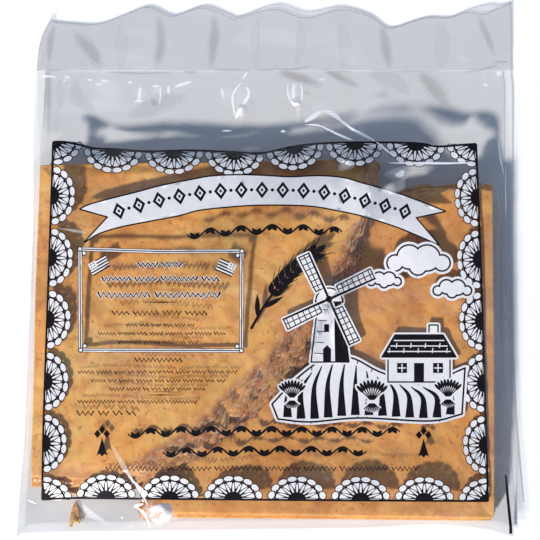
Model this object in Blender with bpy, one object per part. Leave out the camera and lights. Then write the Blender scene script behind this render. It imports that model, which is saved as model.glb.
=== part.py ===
# A flat clear bag of folded crepes, lying on its back with the printed side up.
# Metres. +X is the bag's right and +Y its lip. Origin: middle of its box, on the surface it lies on.

from math import cos, pi, radians, sin

import bmesh
import bpy
import numpy as np

# Crepes: two piles, each a quarter of a disc, with their corners in opposite corners of the bag
CREPE_RADIUS = 0.149
PILE_HEIGHT = 0.014
PILE_PACKED = 0.0115  # what the lower pile adds under the upper one, once pressed
PILE_EDGE = 0.0025  # how far in from a straight edge a pile reaches its full height
PILE_DRAPE = 0.034  # how far outside the lower pile the upper one starts to climb onto it
ARC_STAGGER = 0.0135  # distance that the top crepe's arc stands back from the bottom one's
UPPER_CORNER = (-0.1040, 0.0414)
LOWER_CORNER = (0.0942, -0.1135)
UPPER_TURN = radians(0.4)
LOWER_TURN = radians(-0.8)

# Bag
SEAM_WIDTH = 0.0036
NARROW_SEAM = 0.0014  # the seams that the piles lie against, at the left and the foot
WIDE_SEAM_FROM = 0.80  # share of the left side from which its seam widens to the full one
FILM_PAIR = 0.0008
SEAM_RISE = 0.0025  # how high the side seams stand off the surface
SEAM_EASE = 0.008  # how far inside the seams the back film comes down flat
WELD_RISE = 0.0003
LIP_RISE = 0.0004
FLUTE_RISE = 0.0004  # height of the lip's waves
FLUTES = ((-0.054, 0.014), (-0.029, 0.013), (0.002, 0.018), (0.034, 0.014), (0.106, 0.020))

# Front film over the crepes
SLACK = 0.0007  # film over the crepes where it touches them
PUFF = 3.0  # curvature of the film from the air inside, per metre
AIR_GAP = 0.0012  # most that the film stands off the crepes, away from the air bumps
DRAPE_REACH = 0.0075  # how softly it follows their steps
# Places, radii and heights of the pockets where air lets it stand higher, and of the bumps it makes there
AIR_POCKETS = (((0.0611, 0.0485), 0.036, 0.0165), ((-0.0986, 0.0467), 0.016, 0.0070))
AIR_BUMPS = (((0.0353, 0.0421), 0.024, 0.0020), ((0.0691, 0.0485), 0.018, 0.0034),
             ((0.0896, 0.0485), 0.011, 0.0050), ((-0.0987, 0.0513), 0.013, 0.0052),
             ((-0.0712, 0.0504), 0.02, 0.0010), ((0.0141, 0.0485), 0.018, 0.0014),
             ((-0.0659, 0.0112), 0.042, 0.0046), ((0.0078, 0.0058), 0.038, 0.0040),
             ((0.0558, -0.0031), 0.03, 0.0016), ((-0.0010, -0.0981), 0.018, 0.0038),
             ((0.0329, -0.0989), 0.02, 0.0040), ((0.0667, -0.0989), 0.018, 0.0038),
             ((-0.0734, -0.0813), 0.016, 0.0006))

# Plan outline, from left to right and from foot to lip
FOOT_LINE = ((-0.1101, -0.1213), (-0.1015, -0.1197), (-0.040, -0.1188), (0.038, -0.1178),
             (0.069, -0.1163), (0.092, -0.1184), (0.1040, -0.1222))
LEFT_LINE = ((-0.1101, -0.1213), (-0.1094, -0.102), (-0.1083, -0.080), (-0.1080, -0.050),
             (-0.1077, -0.010), (-0.1079, 0.028), (-0.1090, 0.060), (-0.1089, 0.0895))
RIGHT_LINE = ((0.1040, -0.1222), (0.1092, -0.1125), (0.1088, -0.097), (0.1074, -0.068), (0.1071, -0.040),
              (0.1075, -0.012), (0.1092, 0.028), (0.1106, 0.060), (0.1115, 0.080), (0.1112, 0.0895))
WELD_LINE = (LEFT_LINE[-1], RIGHT_LINE[-1])
LIP_LINE = ((-0.1035, 0.1144), (-0.0961, 0.1135), (-0.0831, 0.1126), (-0.0756, 0.1142), (-0.0663, 0.1181),
            (-0.0569, 0.1212), (-0.0473, 0.1171), (-0.0428, 0.1175), (-0.0312, 0.1216), (-0.0196, 0.1175),
            (-0.0151, 0.1165), (0.0020, 0.1223), (0.0166, 0.1187), (0.0318, 0.1213), (0.0457, 0.1173),
            (0.0546, 0.1112), (0.0661, 0.1145), (0.0736, 0.1164), (0.0827, 0.1162), (0.0923, 0.1201),
            (0.1016, 0.1225), (0.1063, 0.1222), (0.1116, 0.1233))
HEADER_LEFT = (WELD_LINE[0], (-0.1084, 0.0991), (-0.1067, 0.1077), LIP_LINE[0])
HEADER_RIGHT = (WELD_LINE[1], (0.1112, 0.0979), (0.1116, 0.1069), LIP_LINE[-1])
WIDTH = RIGHT_LINE[-1][0] - LEFT_LINE[-1][0]
LENGTH = WELD_LINE[0][1] - FOOT_LINE[0][1]

# Mesh lines, as distances in from a side, closest where the film turns down to the seams
LEFT_STEPS = (0.0, NARROW_SEAM, 0.0028, 0.0040, 0.0053, 0.0072, 0.0105)
RIGHT_STEPS = (0.0, SEAM_WIDTH, 0.0054, 0.0078, 0.0105, 0.0130, 0.0155)
FOOT_STEPS = (0.0, NARROW_SEAM, 0.0030, 0.0046, 0.0064, 0.0088, 0.0125)
COLUMNS_BETWEEN = 42
ROWS_BETWEEN = 44
HEADER_ROWS = 6

# Membrane solver: cells across and along, with the steps on each of its ever finer grids
SOLVE_CELLS = (176, 168)
SOLVE_ROUNDS = ((4, 3000), (2, 1500), (1, 700))

BAG_COLOR = (0.72, 0.45, 0.20, 1.0)
BAG_ROUGHNESS = 0.25


def clear_scene():
    for item in list(bpy.data.objects):
        bpy.data.objects.remove(item, do_unlink=True)


def smoothstep(t):
    t = np.clip(t, 0.0, 1.0)
    return t * t * (3.0 - 2.0 * t)


def curve_at(points, shares):
    """Points at the given shares of the length of a smooth curve through the given ones."""
    p = np.array(points)
    p = np.vstack([2 * p[0] - p[1], p, 2 * p[-1] - p[-2]])
    t = np.linspace(0.0, 1.0, 24, endpoint=False)[:, None]
    runs = []
    for i in range(1, len(p) - 2):
        a, b, c, d = p[i - 1 : i + 3]
        runs.append(0.5 * (2 * b + (c - a) * t + (2 * a - 5 * b + 4 * c - d) * t**2
                           + (3 * b - a - 3 * c + d) * t**3))
    fine = np.vstack(runs + [p[-2:-1]])
    run = np.concatenate([[0.0], np.cumsum(np.linalg.norm(np.diff(fine, axis=0), axis=1))])
    at = np.asarray(shares) * run[-1]
    return np.stack([np.interp(at, run, fine[:, k]) for k in range(2)], axis=1)


def patch(low, high, left, right, us, vs):
    """Plan positions blended between four sides, a row for each v and a column for each u."""
    low, high = (curve_at(side, us)[None, :, :] for side in (low, high))
    left, right = (curve_at(side, vs)[:, None, :] for side in (left, right))
    u = np.asarray(us)[None, :, None]
    v = np.asarray(vs)[:, None, None]
    corners = ((1 - u) * (1 - v) * low[:, :1] + u * (1 - v) * low[:, -1:]
               + (1 - u) * v * high[:, :1] + u * v * high[:, -1:])
    return (1 - v) * low + v * high + (1 - u) * left + u * right - corners


def pocket_plan(us, vs):
    return patch(FOOT_LINE, WELD_LINE, LEFT_LINE, RIGHT_LINE, us, vs)


def header_plan(us, vs):
    return patch(WELD_LINE, LIP_LINE, HEADER_LEFT, HEADER_RIGHT, us, vs)


def fan_place(plan, corner, turn, way):
    """Distances from a pile's corner along its two straight edges."""
    x = plan[..., 0] - corner[0]
    y = plan[..., 1] - corner[1]
    along = (x * cos(turn) + y * sin(turn)) * way
    across = (x * sin(turn) - y * cos(turn)) * way
    return along, across


def inside_fan(plan, corner, turn, way):
    """Distance in from the outline of a quarter disc whose straight edges leave the corner."""
    along, across = fan_place(plan, corner, turn, way)
    return np.minimum(np.minimum(along, across), CREPE_RADIUS - np.hypot(along, across))


def pile_share(plan, corner, turn, way):
    """Share of its height that a pile has at each place: steep straight edges and a staggered arc."""
    along, across = fan_place(plan, corner, turn, way)
    middle = np.sin(2 * np.clip(np.arctan2(across, along), 0.0, pi / 2)) ** 2
    setback = ARC_STAGGER * (0.3 + 0.7 * middle)
    arc = np.clip((CREPE_RADIUS - np.hypot(along, across)) / setback, 0.0, 1.0)
    return np.minimum(arc, smoothstep(np.minimum(along, across) / PILE_EDGE))


def crepes_top(plan):
    """Top of the piles; the upper one climbs onto the lower one where they overlap."""
    lower = (plan, LOWER_CORNER, LOWER_TURN, -1)
    climb = PILE_PACKED * smoothstep((inside_fan(*lower) + PILE_DRAPE) / (PILE_DRAPE + PILE_EDGE))
    upper_top = (PILE_HEIGHT + climb) * pile_share(plan, UPPER_CORNER, UPPER_TURN, 1)
    return np.maximum(upper_top, PILE_HEIGHT * pile_share(*lower))


def inside_seams(us, vs):
    """Distance in from the seams and the weld, less than 0 on them."""
    wide = smoothstep((vs - WIDE_SEAM_FROM) / 0.06)[:, None]
    left = us[None, :] * WIDTH - NARROW_SEAM - (SEAM_WIDTH - NARROW_SEAM) * wide
    right = (1 - us[None, :]) * WIDTH - SEAM_WIDTH
    foot = vs[:, None] * LENGTH - NARROW_SEAM
    return np.minimum(np.minimum(np.minimum(left, right), foot), (1 - vs[:, None]) * LENGTH)


def seam_height(vs):
    """Height of the seams: off the surface at the sides, down to the weld at the top."""
    return (WELD_RISE + (SEAM_RISE - WELD_RISE) * smoothstep((1 - vs) * 4))[:, None]


def pocket_back(us, vs):
    """Back film of the pocket: flat on the surface, rising to the seams and the weld."""
    inner = inside_seams(us, vs)
    eased = seam_height(vs) * (1 - smoothstep(inner / SEAM_EASE))
    return np.where(inner < SEAM_EASE, eased, 0.0)


def blurred(field, reach):
    """A field smoothed over a reach given in cells across and along."""
    for axis, cells in enumerate(reach):
        count = int(2.5 * cells) + 1
        kernel = np.exp(-((np.arange(-count, count + 1) / cells) ** 2))
        kernel /= kernel.sum()
        pad = [(count, count) if k == axis else (0, 0) for k in range(2)]
        field = np.apply_along_axis(np.convolve, axis, np.pad(field, pad, mode="edge"), kernel, "valid")
    return field


def slack_limit(top, us, vs):
    """Highest that the film lies over the crepes, whose steps it follows softly."""
    reach = (DRAPE_REACH * (len(vs) - 1) / LENGTH, DRAPE_REACH * (len(us) - 1) / WIDTH)
    covered = (top > PILE_HEIGHT / 2).astype(float)
    share = blurred(covered, reach)
    softened = blurred(top * covered, reach) / np.maximum(share, 0.01)
    return softened * np.minimum(2 * share, 1.0) + AIR_GAP


def relax(z, us, vs, steps):
    """Membrane over the crepes, held at the seams, puffed by air and kept close to the crepes."""
    plan = pocket_plan(us, vs)
    top = crepes_top(plan)
    limit = slack_limit(top, us, vs) + lifted(plan, AIR_POCKETS)
    free = inside_seams(us, vs) > 0
    held = seam_height(vs) + FILM_PAIR
    floor = np.where(free, np.maximum(top + SLACK, held), held)
    lift = PUFF * (WIDTH / (len(us) - 1)) * (LENGTH / (len(vs) - 1)) / 4
    z = np.maximum(z, floor)
    for _ in range(steps):
        mean = z.copy()
        mean[1:-1, 1:-1] = (z[:-2, 1:-1] + z[2:, 1:-1] + z[1:-1, :-2] + z[1:-1, 2:]) / 4
        z = np.where(free, np.maximum(np.minimum(mean + lift, limit), floor), floor)
    return z


def lifted(plan, bumps):
    """Round bumps, each from its place, its radius and its height."""
    lift = np.zeros(plan.shape[:2])
    for place, radius, height in bumps:
        away = np.linalg.norm(plan - np.array(place), axis=-1)
        lift += height * np.exp(-((away / radius) ** 2))
    return lift


def pocket_front():
    """Front film, solved on ever finer grids."""
    z = np.zeros((3, 3))
    for coarser, steps in SOLVE_ROUNDS:
        us = np.linspace(0.0, 1.0, SOLVE_CELLS[0] // coarser + 1)
        vs = np.linspace(0.0, 1.0, SOLVE_CELLS[1] // coarser + 1)
        z = relax(sample(z, us, vs), us, vs, steps)
    return z + lifted(pocket_plan(us, vs), AIR_BUMPS) * smoothstep(inside_seams(us, vs) / 0.004)


def sample(grid, us, vs):
    """Values of a grid over the unit square, at rows vs and columns us, by interpolation."""
    rows = np.stack([np.interp(us, np.linspace(0, 1, grid.shape[1]), row) for row in grid])
    columns = [np.interp(vs, np.linspace(0, 1, grid.shape[0]), rows[:, k]) for k in range(len(us))]
    return np.stack(columns, axis=1)


def header_back(plan, vs):
    """Back of the header: down from the weld to the lip, with flutes that grow towards it."""
    wave = sum(np.exp(-(((plan[..., 0] - at) / width) ** 2)) for at, width in FLUTES)
    return WELD_RISE + (LIP_RISE - WELD_RISE + FLUTE_RISE * wave) * vs[:, None]


def mesh_shares(steps, far_steps, between, length):
    """Shares of a length: the steps at each end, and even ones between them."""
    near = np.array(steps) / length
    far = 1 - np.array(far_steps)[::-1] / length
    middle = np.linspace(near[-1], far[0], between + 2)[1:-1]
    return np.concatenate([near, middle, far])


def bag_surfaces():
    """Plan, back and front of the whole bag, on one grid from foot to lip."""
    us = mesh_shares(LEFT_STEPS, RIGHT_STEPS, COLUMNS_BETWEEN, WIDTH)
    vs = mesh_shares(FOOT_STEPS, (0.0,), ROWS_BETWEEN, LENGTH)
    header_vs = np.linspace(0.0, 1.0, HEADER_ROWS + 1)[1:]
    pocket = pocket_plan(us, vs)
    header = header_plan(us, header_vs)
    back = np.vstack([pocket_back(us, vs), header_back(header, header_vs)])
    front = np.vstack([sample(pocket_front(), us, vs), header_back(header, header_vs) + FILM_PAIR])
    return np.vstack([pocket, header]), back, np.maximum(front, back + FILM_PAIR)


def bag_mesh():
    """A grid lifted to the front film, its copy below as the back film, joined round the rim."""
    plan, back, front = bag_surfaces()
    rows, columns = back.shape
    bm = bmesh.new()
    bmesh.ops.create_grid(bm, x_segments=columns - 1, y_segments=rows - 1, size=1.0)
    upper = sorted(bm.verts, key=lambda v: (round(v.co.y, 5), round(v.co.x, 5)))
    lower_of = bmesh.ops.duplicate(bm, geom=bm.verts[:] + bm.edges[:] + bm.faces[:])["vert_map"]
    flat = set()
    for vert, place, low, high in zip(upper, plan.reshape(-1, 2), back.ravel(), front.ravel()):
        vert.co = (*place, high)
        lower_of[vert].co = (*place, low)
        if low == 0.0:
            flat.add(lower_of[vert])
    bmesh.ops.bridge_loops(bm, edges=[edge for edge in bm.edges if edge.is_boundary])
    bmesh.ops.dissolve_limit(
        bm, angle_limit=0.0001, verts=list(flat),
        edges=[edge for edge in bm.edges if set(edge.verts) <= flat])
    bmesh.ops.recalc_face_normals(bm, faces=bm.faces)
    mesh = bpy.data.meshes.new("bag")
    bm.to_mesh(mesh)
    bm.free()
    return mesh


def bag_material():
    material = bpy.data.materials.new("crepes_under_clear_film")
    material.use_nodes = True
    shader = material.node_tree.nodes["Principled BSDF"]
    shader.inputs["Base Color"].default_value = BAG_COLOR
    shader.inputs["Roughness"].default_value = BAG_ROUGHNESS
    shader.inputs["Metallic"].default_value = 0.0
    return material


def main():
    clear_scene()
    parts = bpy.data.collections.new("crepe_bag")
    bpy.context.scene.collection.children.link(parts)
    bag = bpy.data.objects.new("bag", bag_mesh())
    bag.data.materials.append(bag_material())
    bag.data.shade_smooth()
    bag.data.set_sharp_from_angle(angle=radians(40))
    parts.objects.link(bag)


main()
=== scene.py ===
from math import cos, pi, radians, sin, tan

import bmesh
import bpy
import numpy as np
from mathutils import Matrix, Vector
from mathutils.bvhtree import BVHTree
from mathutils.geometry import delaunay_2d_cdt


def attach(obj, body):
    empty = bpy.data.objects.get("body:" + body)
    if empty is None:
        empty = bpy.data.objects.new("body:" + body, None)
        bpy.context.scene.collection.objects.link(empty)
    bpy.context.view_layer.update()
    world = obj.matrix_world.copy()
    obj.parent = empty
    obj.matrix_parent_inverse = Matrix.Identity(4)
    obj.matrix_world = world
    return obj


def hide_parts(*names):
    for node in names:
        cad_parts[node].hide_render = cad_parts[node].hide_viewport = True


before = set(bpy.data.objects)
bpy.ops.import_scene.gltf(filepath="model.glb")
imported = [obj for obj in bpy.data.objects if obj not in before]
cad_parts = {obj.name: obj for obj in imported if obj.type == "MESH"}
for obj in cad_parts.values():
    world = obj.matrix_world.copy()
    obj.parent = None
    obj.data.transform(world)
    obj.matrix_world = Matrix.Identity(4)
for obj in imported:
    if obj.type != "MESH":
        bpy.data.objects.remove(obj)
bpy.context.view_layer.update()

# Crepes, in metres, as in the solid
CREPE_RADIUS = 0.149
PILE_HEIGHT = 0.014
PILE_PACKED = 0.0115  # what the lower pile adds under the upper one, once pressed
PILE_EDGE = 0.0025
PILE_DRAPE = 0.034  # how far outside the lower pile the upper one starts to climb onto it
UPPER_CORNER = (-0.1040, 0.0414)
LOWER_CORNER = (0.0942, -0.1135)
UPPER_TURN = radians(0.4)
LOWER_TURN = radians(-0.8)
ARC_STAGGER = 0.0135  # distance that the top crepe's arc stands back from the bottom one's

# Crepes, what the solid leaves out
CREPES_A_PILE = 6
LAYERS_A_CREPE = 4
FAN_COLUMNS = 190
FOLD_BULGE = 0.0006  # how far a layer's rounded edge stands out
SHEET_ROUND = (0.08, 0.5, 0.92)  # heights of the points that round it, as shares of the layer
RIM_REACH = 0.0030  # width of a crepe's drier, darker rim
ARC_RAGGED = 0.0009  # how far the sheets' edges stray along the arcs
CORNER_DROOP = 0.26  # share of its height that a pile lacks at its folded corner
CORNER_REACH = 0.030
EDGE_DROOP = 0.10  # share of its height that a pile lacks along its folded edges
EDGE_REACH = 0.0034
END_SHORT = 0.0058  # how far the upper pile's arcs fall short at its left edge
END_REACH = 0.11  # share of the arc over which they do
SCRAP_CORNER = (75, 503)  # place of the torn scrap in the photograph
SCRAP_RADIUS = 0.0070
SCRAP_SPREAD = radians(36)
SCRAP_THICK = 0.0005
SCRAP_HEIGHT = 0.002
SCRAP_WAVE = 0.004
SCRAP_SEED = 3
SCRAP_LIFT = (0.0004, 0.0007, 0.0002)  # its height above the floor, its slope's rise and its waves
PRESSED = 0.17  # share of its height that the lower pile loses under the upper one
PRESSED_REACH = 0.02
GAP_BELOW = 0.0002  # left free below each crepe
GAP_ABOVE = 0.0001  # and above it
PILE_WAVE = 0.00022  # height of the waves that run through a pile
PILE_WAVE_LENGTH = 0.045
TOP_GRAIN = ((0.00010, 0.009), (0.00004, 0.004))  # heights and lengths of the top's finer relief
CORNER_STRAY = (0.0004, 0.0009)  # how far the folded crepes stray from one another
TURN_STRAY = 0.006
SPREAD_STRAY = 0.010
RADIUS_STRAY = 0.0025
ARC_STRAY = 0.0006
RIM_WANDER = ((13, 0.0008), (48, 0.0007), (120, 0.0003))  # knots and sizes of the arcs' wandering
RAGGED_KNOTS = 110
TOP_ROWS = 100
UNDER_ROWS = 26
SCRAP_ROWS = 20
RIM_ROWS = 12  # how many of those rows lie beyond RIM_FROM of the radius
RIM_FROM = 0.88
ROUGH_WAVES = 28
ROUGH_SUM = 3.7  # typical size of that many waves together
WAVE_SEED = 40

# Bag outline, as in the solid but for the foot's right end, which is cut square
SEAM_WIDTH = 0.0036
SEAM_RISE = 0.0025  # height of the seams above the floor
SEAM_EASE = 0.008  # distance over which the back film comes down from them
WELD_RISE = 0.0003
WELD_REACH = 0.25  # share of the sides over which the seams come down to the weld
SLACK = 0.0007  # least that the front film stands off the crepes
PUFF = 3.0  # curvature, per metre, that the air gives the free film
LIP_RISE = 0.0004
FLUTE_RISE = 0.0004
FLUTES = (  # middle and width of each
    (-0.054, 0.014), (-0.029, 0.013), (0.002, 0.018), (0.034, 0.014), (0.106, 0.020))
FOOT_LINE = (
    (-0.1101, -0.1213), (-0.1015, -0.1197), (-0.040, -0.1188), (0.038, -0.1178), (0.069, -0.1163),
    (0.092, -0.1184), (0.1040, -0.1216), (0.1100, -0.1222))
LEFT_LINE = (
    (-0.1101, -0.1213), (-0.1094, -0.102), (-0.1083, -0.080), (-0.1080, -0.050), (-0.1077, -0.010),
    (-0.1079, 0.028), (-0.1090, 0.060), (-0.1089, 0.0895))
RIGHT_LINE = (
    (0.1100, -0.1222), (0.1097, -0.1125), (0.1088, -0.097), (0.1074, -0.068), (0.1071, -0.040),
    (0.1075, -0.012), (0.1092, 0.028), (0.1106, 0.060), (0.1115, 0.080), (0.1112, 0.0895))
WELD_LINE = (LEFT_LINE[-1], RIGHT_LINE[-1])
LIP_LINE = (
    (-0.1035, 0.1144), (-0.0961, 0.1135), (-0.0831, 0.1126), (-0.0756, 0.1142), (-0.0663, 0.1181),
    (-0.0569, 0.1212), (-0.0473, 0.1171), (-0.0428, 0.1175), (-0.0312, 0.1216), (-0.0196, 0.1175),
    (-0.0151, 0.1165), (0.0020, 0.1223), (0.0166, 0.1187), (0.0318, 0.1213), (0.0457, 0.1173),
    (0.0546, 0.1112), (0.0661, 0.1145), (0.0736, 0.1164), (0.0827, 0.1162), (0.0923, 0.1201),
    (0.1016, 0.1225), (0.1063, 0.1222), (0.1116, 0.1233))
HEADER_LEFT = (WELD_LINE[0], (-0.1084, 0.0991), (-0.1067, 0.1077), LIP_LINE[0])
HEADER_RIGHT = (WELD_LINE[1], (0.1112, 0.0979), (0.1116, 0.1069), LIP_LINE[-1])
WIDTH = RIGHT_LINE[-1][0] - LEFT_LINE[-1][0]
LENGTH = WELD_LINE[0][1] - FOOT_LINE[0][1]
FLANGE_NOTCH = (0.1042, -0.1144)  # beyond here the foot's right end has no flange

# Film
FILM_GAP = 0.00012  # between the two films where they are welded
BACK_LIFT = 0.00005  # of the back film above the floor, and of the crepes above the back film
BAG_REACH = 0.2  # a height that nothing in the bag comes up to
LIP_DROP = 0.0009  # how far the front film's lip stops short of the back one's, and more in places
LIP_DROPS = (  # where, how much and how wide
    (0.012, 0.0028, 0.022), (-0.030, 0.0008, 0.012), (0.0990, 0.0040, 0.0065))
LIP_PARTING = 0.0006
LEFT_FLANGE = ((0.0, 0.0), (0.79, 0.0), (0.80, 0.0041), (1.0, 0.0041))  # its width up the left side
LIP_FLANGE = 0.0018
RIGHT_FLANGE = ((0.0, 0.0041), (1.0, 0.0041))
SPIKE = (0.0016, 0.0042)  # how far the front film's left corner is curled out
CURL_REACH = 0.0009
CURL_POWER = 9  # the higher, the nearer to the lip the curl starts
EDGE_LINE = 0.0007  # width of the darker line along an edge of the film
RIB_PITCH = 0.0013
RIB_DEPTH = 0.00005
# the film's tone changing from rib to rib is painted light and shade of the ribs
RIB_SHADE_SHARE = 0.13  # share by which the film's tone changes from rib to rib
FILM_HEIGHT = 0.018  # at which the film's marks are placed from the photograph
POCKET_CELLS = (264, 248)
SOLVING = ((4, 3000), (2, 1200), (1, 500))  # how coarse each grid is, and its steps
BLUR_REACH = 2.5  # widths of the kernel at which it is cut off
RELIEF_EASE = 0.004  # distance from the seams over which the relief fades in
BACK_EDGE_FROM = 18  # row of the grid from which the back film's edge shows
FRONT_EDGE_FROM = 6
HEADER_ROWS = 72
NARROW_SEAM = 0.0014  # the seams that the piles lie against
WIDE_SEAM_FROM = 0.80  # share of the left side from which its seam shows whole
WIDE_SEAM_RAMP = 0.06
AIR_GAP = 0.0012  # most that the film stands off the crepes, away from the air pockets and bumps
DRAPE_REACH = 0.0075
AIR_POCKETS = (((410, 146), 0.036, 0.0165), ((50, 150), 0.016, 0.0070))  # where the film may stand higher
AIR_BUMPS = (  # place in the photograph, radius and height
    ((352, 160), 0.024, 0.0020), ((428, 146), 0.018, 0.0034), ((474, 146), 0.011, 0.0050),
    ((50, 140), 0.013, 0.0052), ((112, 142), 0.020, 0.0010), ((304, 146), 0.018, 0.0014),
    ((122, 228), 0.042, 0.0046), ((290, 240), 0.038, 0.0040), ((400, 260), 0.030, 0.0016),
    ((270, 480), 0.018, 0.0038), ((350, 482), 0.020, 0.0040), ((430, 482), 0.018, 0.0038),
    ((100, 440), 0.016, 0.0006))
CREASES = (  # ends in the photograph, height and width
    ((305, 122), (325, 112), 0.00025, 0.0011), ((325, 112), (353, 142), 0.00030, 0.0011),
    ((348, 127), (374, 141.5), 0.00025, 0.0010), ((374, 141.5), (391, 154), 0.00020, 0.0010),
    ((305, 126), (330, 130), 0.00020, 0.0010), ((116, 452), (132, 478), 0.00030, 0.0011),
    ((132, 478), (148, 506), 0.00020, 0.0010), ((128, 476), (152, 499), 0.00015, 0.0009),
    ((76, 503), (104, 521), 0.00020, 0.0010), ((84, 512), (113, 526), 0.00015, 0.0009),
    ((140, 502), (158, 524), 0.00030, 0.0014), ((162, 503), (172, 520), 0.00025, 0.0013),
    ((386, 163.6), (470, 163.2), 0.00020, 0.0010), ((388, 169.4), (470, 169), 0.00015, 0.0010))
FACETS = (  # place in the photograph and radius
    ((157, 513), 0.0046), ((388, 190), 0.0030), ((346, 166), 0.0016), ((296, 96), 0.0022),
    ((241, 102), 0.0024), ((146, 95), 0.0024), ((358, 122), 0.0034), ((250, 150), 0.0014))
GLINT_SLOPE = (0.318, 0.584)  # slope that sends the sun to the camera
FACET_RISE = 0.7  # height of a facet's middle, as a share of its radius

# Colours
CREPE_PALE = (0.99, 0.55, 0.160)
CREPE_GOLD = (0.93, 0.405, 0.080)
CREPE_TAN = (0.66, 0.245, 0.052)
CREPE_BROWN = (0.34, 0.105, 0.032)
RIM_RED = (0.36, 0.112, 0.044)
# pale specks along the rims, partly crumbs and partly painted glints where the film touches
RIM_PALE = (0.72, 0.49, 0.36)

# The haze colour is that of streaks which are partly a painted reflection; the glint, soft glare and shade
# films are films for painted highlights, painted glare and painted shade.
FILM_LOOKS = {  # colour, that of the haze, roughness, cover, and how close the streaks of haze are
    "film": ((0.12, 0.118, 0.135), (0.50, 0.50, 0.55), 0.13, 0.140, 22.0),
    "header_film": ((0.585, 0.575, 0.595), (0.72, 0.72, 0.74), 0.25, 0.33, 30.0),
    "film_edge": ((0.26, 0.27, 0.29), (0.36, 0.37, 0.40), 0.30, 0.42, 80.0),
    "film_glint": ((0.93, 0.94, 0.97), (0.86, 0.88, 0.91), 0.15, 0.90, 60.0),
    "film_soft_glare": ((0.80, 0.82, 0.86), (0.92, 0.93, 0.95), 0.30, 0.20, 30.0),
    "film_shade": ((0.14, 0.20, 0.33), (0.19, 0.25, 0.38), 0.45, 0.060, 90.0)}
INK_LOOKS = {  # colour, that where it is worn, roughness and gloss
    "black_ink": ((0.006, 0.005, 0.007), (0.012, 0.010, 0.013), 0.42, 0.12),
    "white_ink": ((0.80, 0.785, 0.80), (0.72, 0.705, 0.73), 0.36, 0.35)}

# Camera and light
PIXELS = 540
AIM = (-0.001, -0.006, 0.010)
CAMERA_DISTANCE = 0.60
CAMERA_TILT = radians(11.0)
CAMERA_VIEW = radians(22.5)
SUN_WAY = (0.90, 1.3, -1.0)
SUN_STRENGTH = 4.6
SUN_COLOR = (1.0, 0.955, 0.885)
SUN_ANGLE = radians(5.5)
SKY_COLOR = (0.56, 0.72, 1.0)
SKY_STRENGTH = 0.44

# Print, placed by pixels of the 540 x 540 photograph, with the sizes of what repeats in metres
CURVE_STEPS = 24  # points that a curve has from each given one to the next
PIXEL_SIZE = 0.00043  # length on the print that a pixel spans
PRINT_STEP = 3.0  # pixels between the points that lay the print on the film
STROKE_STEP = 8.0  # pixels between the points of a long straight line
PRINT_LIFT = 0.00010  # of the print above the film, and of each layer of marks above the one below
FIRST_SHADE = 2
FIRST_SOFT_GLARE = 5
GLINT_LAYER = 7
FRAME_TOP = (
    (53.2, 142), (64, 142), (80, 145), (95, 148.6), (113, 149.2), (147, 151.6), (190, 150.6),
    (231, 152.2), (262, 153.2), (292, 147), (319, 143.8), (352, 142.6), (415, 143.2), (437, 146.6),
    (459, 145.2), (476, 144))
FRAME_FOOT = ((42.3, 499.4), (75, 497.9), (146, 498.6), (300, 500), (488, 501))
FRAME_LEFT = (FRAME_TOP[0], (51, 210), (44, 410), FRAME_FOOT[0])
FRAME_RIGHT = (FRAME_TOP[-1], (478.6, 208), (483.5, 350), FRAME_FOOT[-1])
FRAME_LINE = 0.0009
ACROSS_SHARES = [k / 7 for k in range(1, 7)]
DOWN_SHARES = [0.150 + 0.1733 * k for k in range(5)]
PETAL_STEP = pi / 8
ROSETTE_DEPTH = 0.78  # depth of a half rosette against its half length
HUB_RADIUS = 0.0035
SPOKE = ((0.0039, 0.00034), (0.0058, 0.00048), (0.0072, 0.00046), (0.0087, 0.00010))
WEDGE = ((0.0056, 0.00005), (0.0086, 0.00114), (0.0091, 0.00112))
LACE_RADIUS = 0.0098
BEAD_AT = 0.0112
BEAD = (0.0020, 0.00134)
BEAD_LINE = 0.00042
RIBBON_UPPER = (
    (80, 209), (94, 203.2), (136.6, 192.3), (160, 186), (190, 180), (211, 176.3), (240, 175), (270, 176),
    (290, 177.2), (320, 176), (345, 178.2), (359, 182.4), (394.4, 192.3), (424.3, 203.2), (445, 211.3))
RIBBON_LOWER = (
    (84.4, 242.3), (98.7, 233.6), (120.5, 226.8), (146.9, 221.6), (180, 215.3), (200, 210), (240, 206),
    (270, 205), (310, 206), (340, 211), (360, 215.3), (377.2, 220.4), (402.5, 229.1), (438.6, 244.6))
RIBBON_NOTCHES = ((107.9, 217), (415.7, 217.6))
RIBBON_ROW = ((119, 211), (160, 200), (215, 191.5), (270, 190), (325, 192.5), (370, 202), (405, 211.5))
RIBBON_LOZENGES = 15
PANEL = ((80, 249), (160, 251.6), (242, 251.2), (241.4, 350.6), (80.6, 350.2))
PANEL_GAP = 2.2
PENNANTS = (((88, 264.5), (105.1, 254.7), (93.2, 276.2)), ((236.9, 265.1), (220.3, 257.9), (231.4, 277.1)))
HALOED_LINES = ((138, 186, 264.6, 5.4, 2), (102, 223, 279, 5.0, 4), (98, 225, 295.2, 6.2, 2))
PLAIN_LINES = ((112, 211, 313, 5.0, 4), (126, 197, 325.2, 3.4, 6), (98, 228, 333.6, 3.4, 8),
               (118, 201, 342.2, 3.4, 4), (135, 182, 360, 5.0, 1), (78, 240, 372, 3.6, 11),
               (91, 228, 380.8, 3.6, 9), (110, 208, 389, 3.6, 7), (78, 200, 401.8, 3.8, 4),
               (77, 140, 413, 5.4, 4), (106, 422, 468.6, 5.0, 7))
RULES = ((141, 182, 302.2), (140, 182.5, 395))
VINES = (((128, 434), (200, 431), (300, 431.5), (400, 432)), ((163, 452.6), (260, 451), (366, 451.5)),
         ((187, 235), (225, 231.5), (265, 229.5), (305, 229.5), (342, 232)))
VINE_WAVE = 15.5  # pixels between the crests
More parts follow.
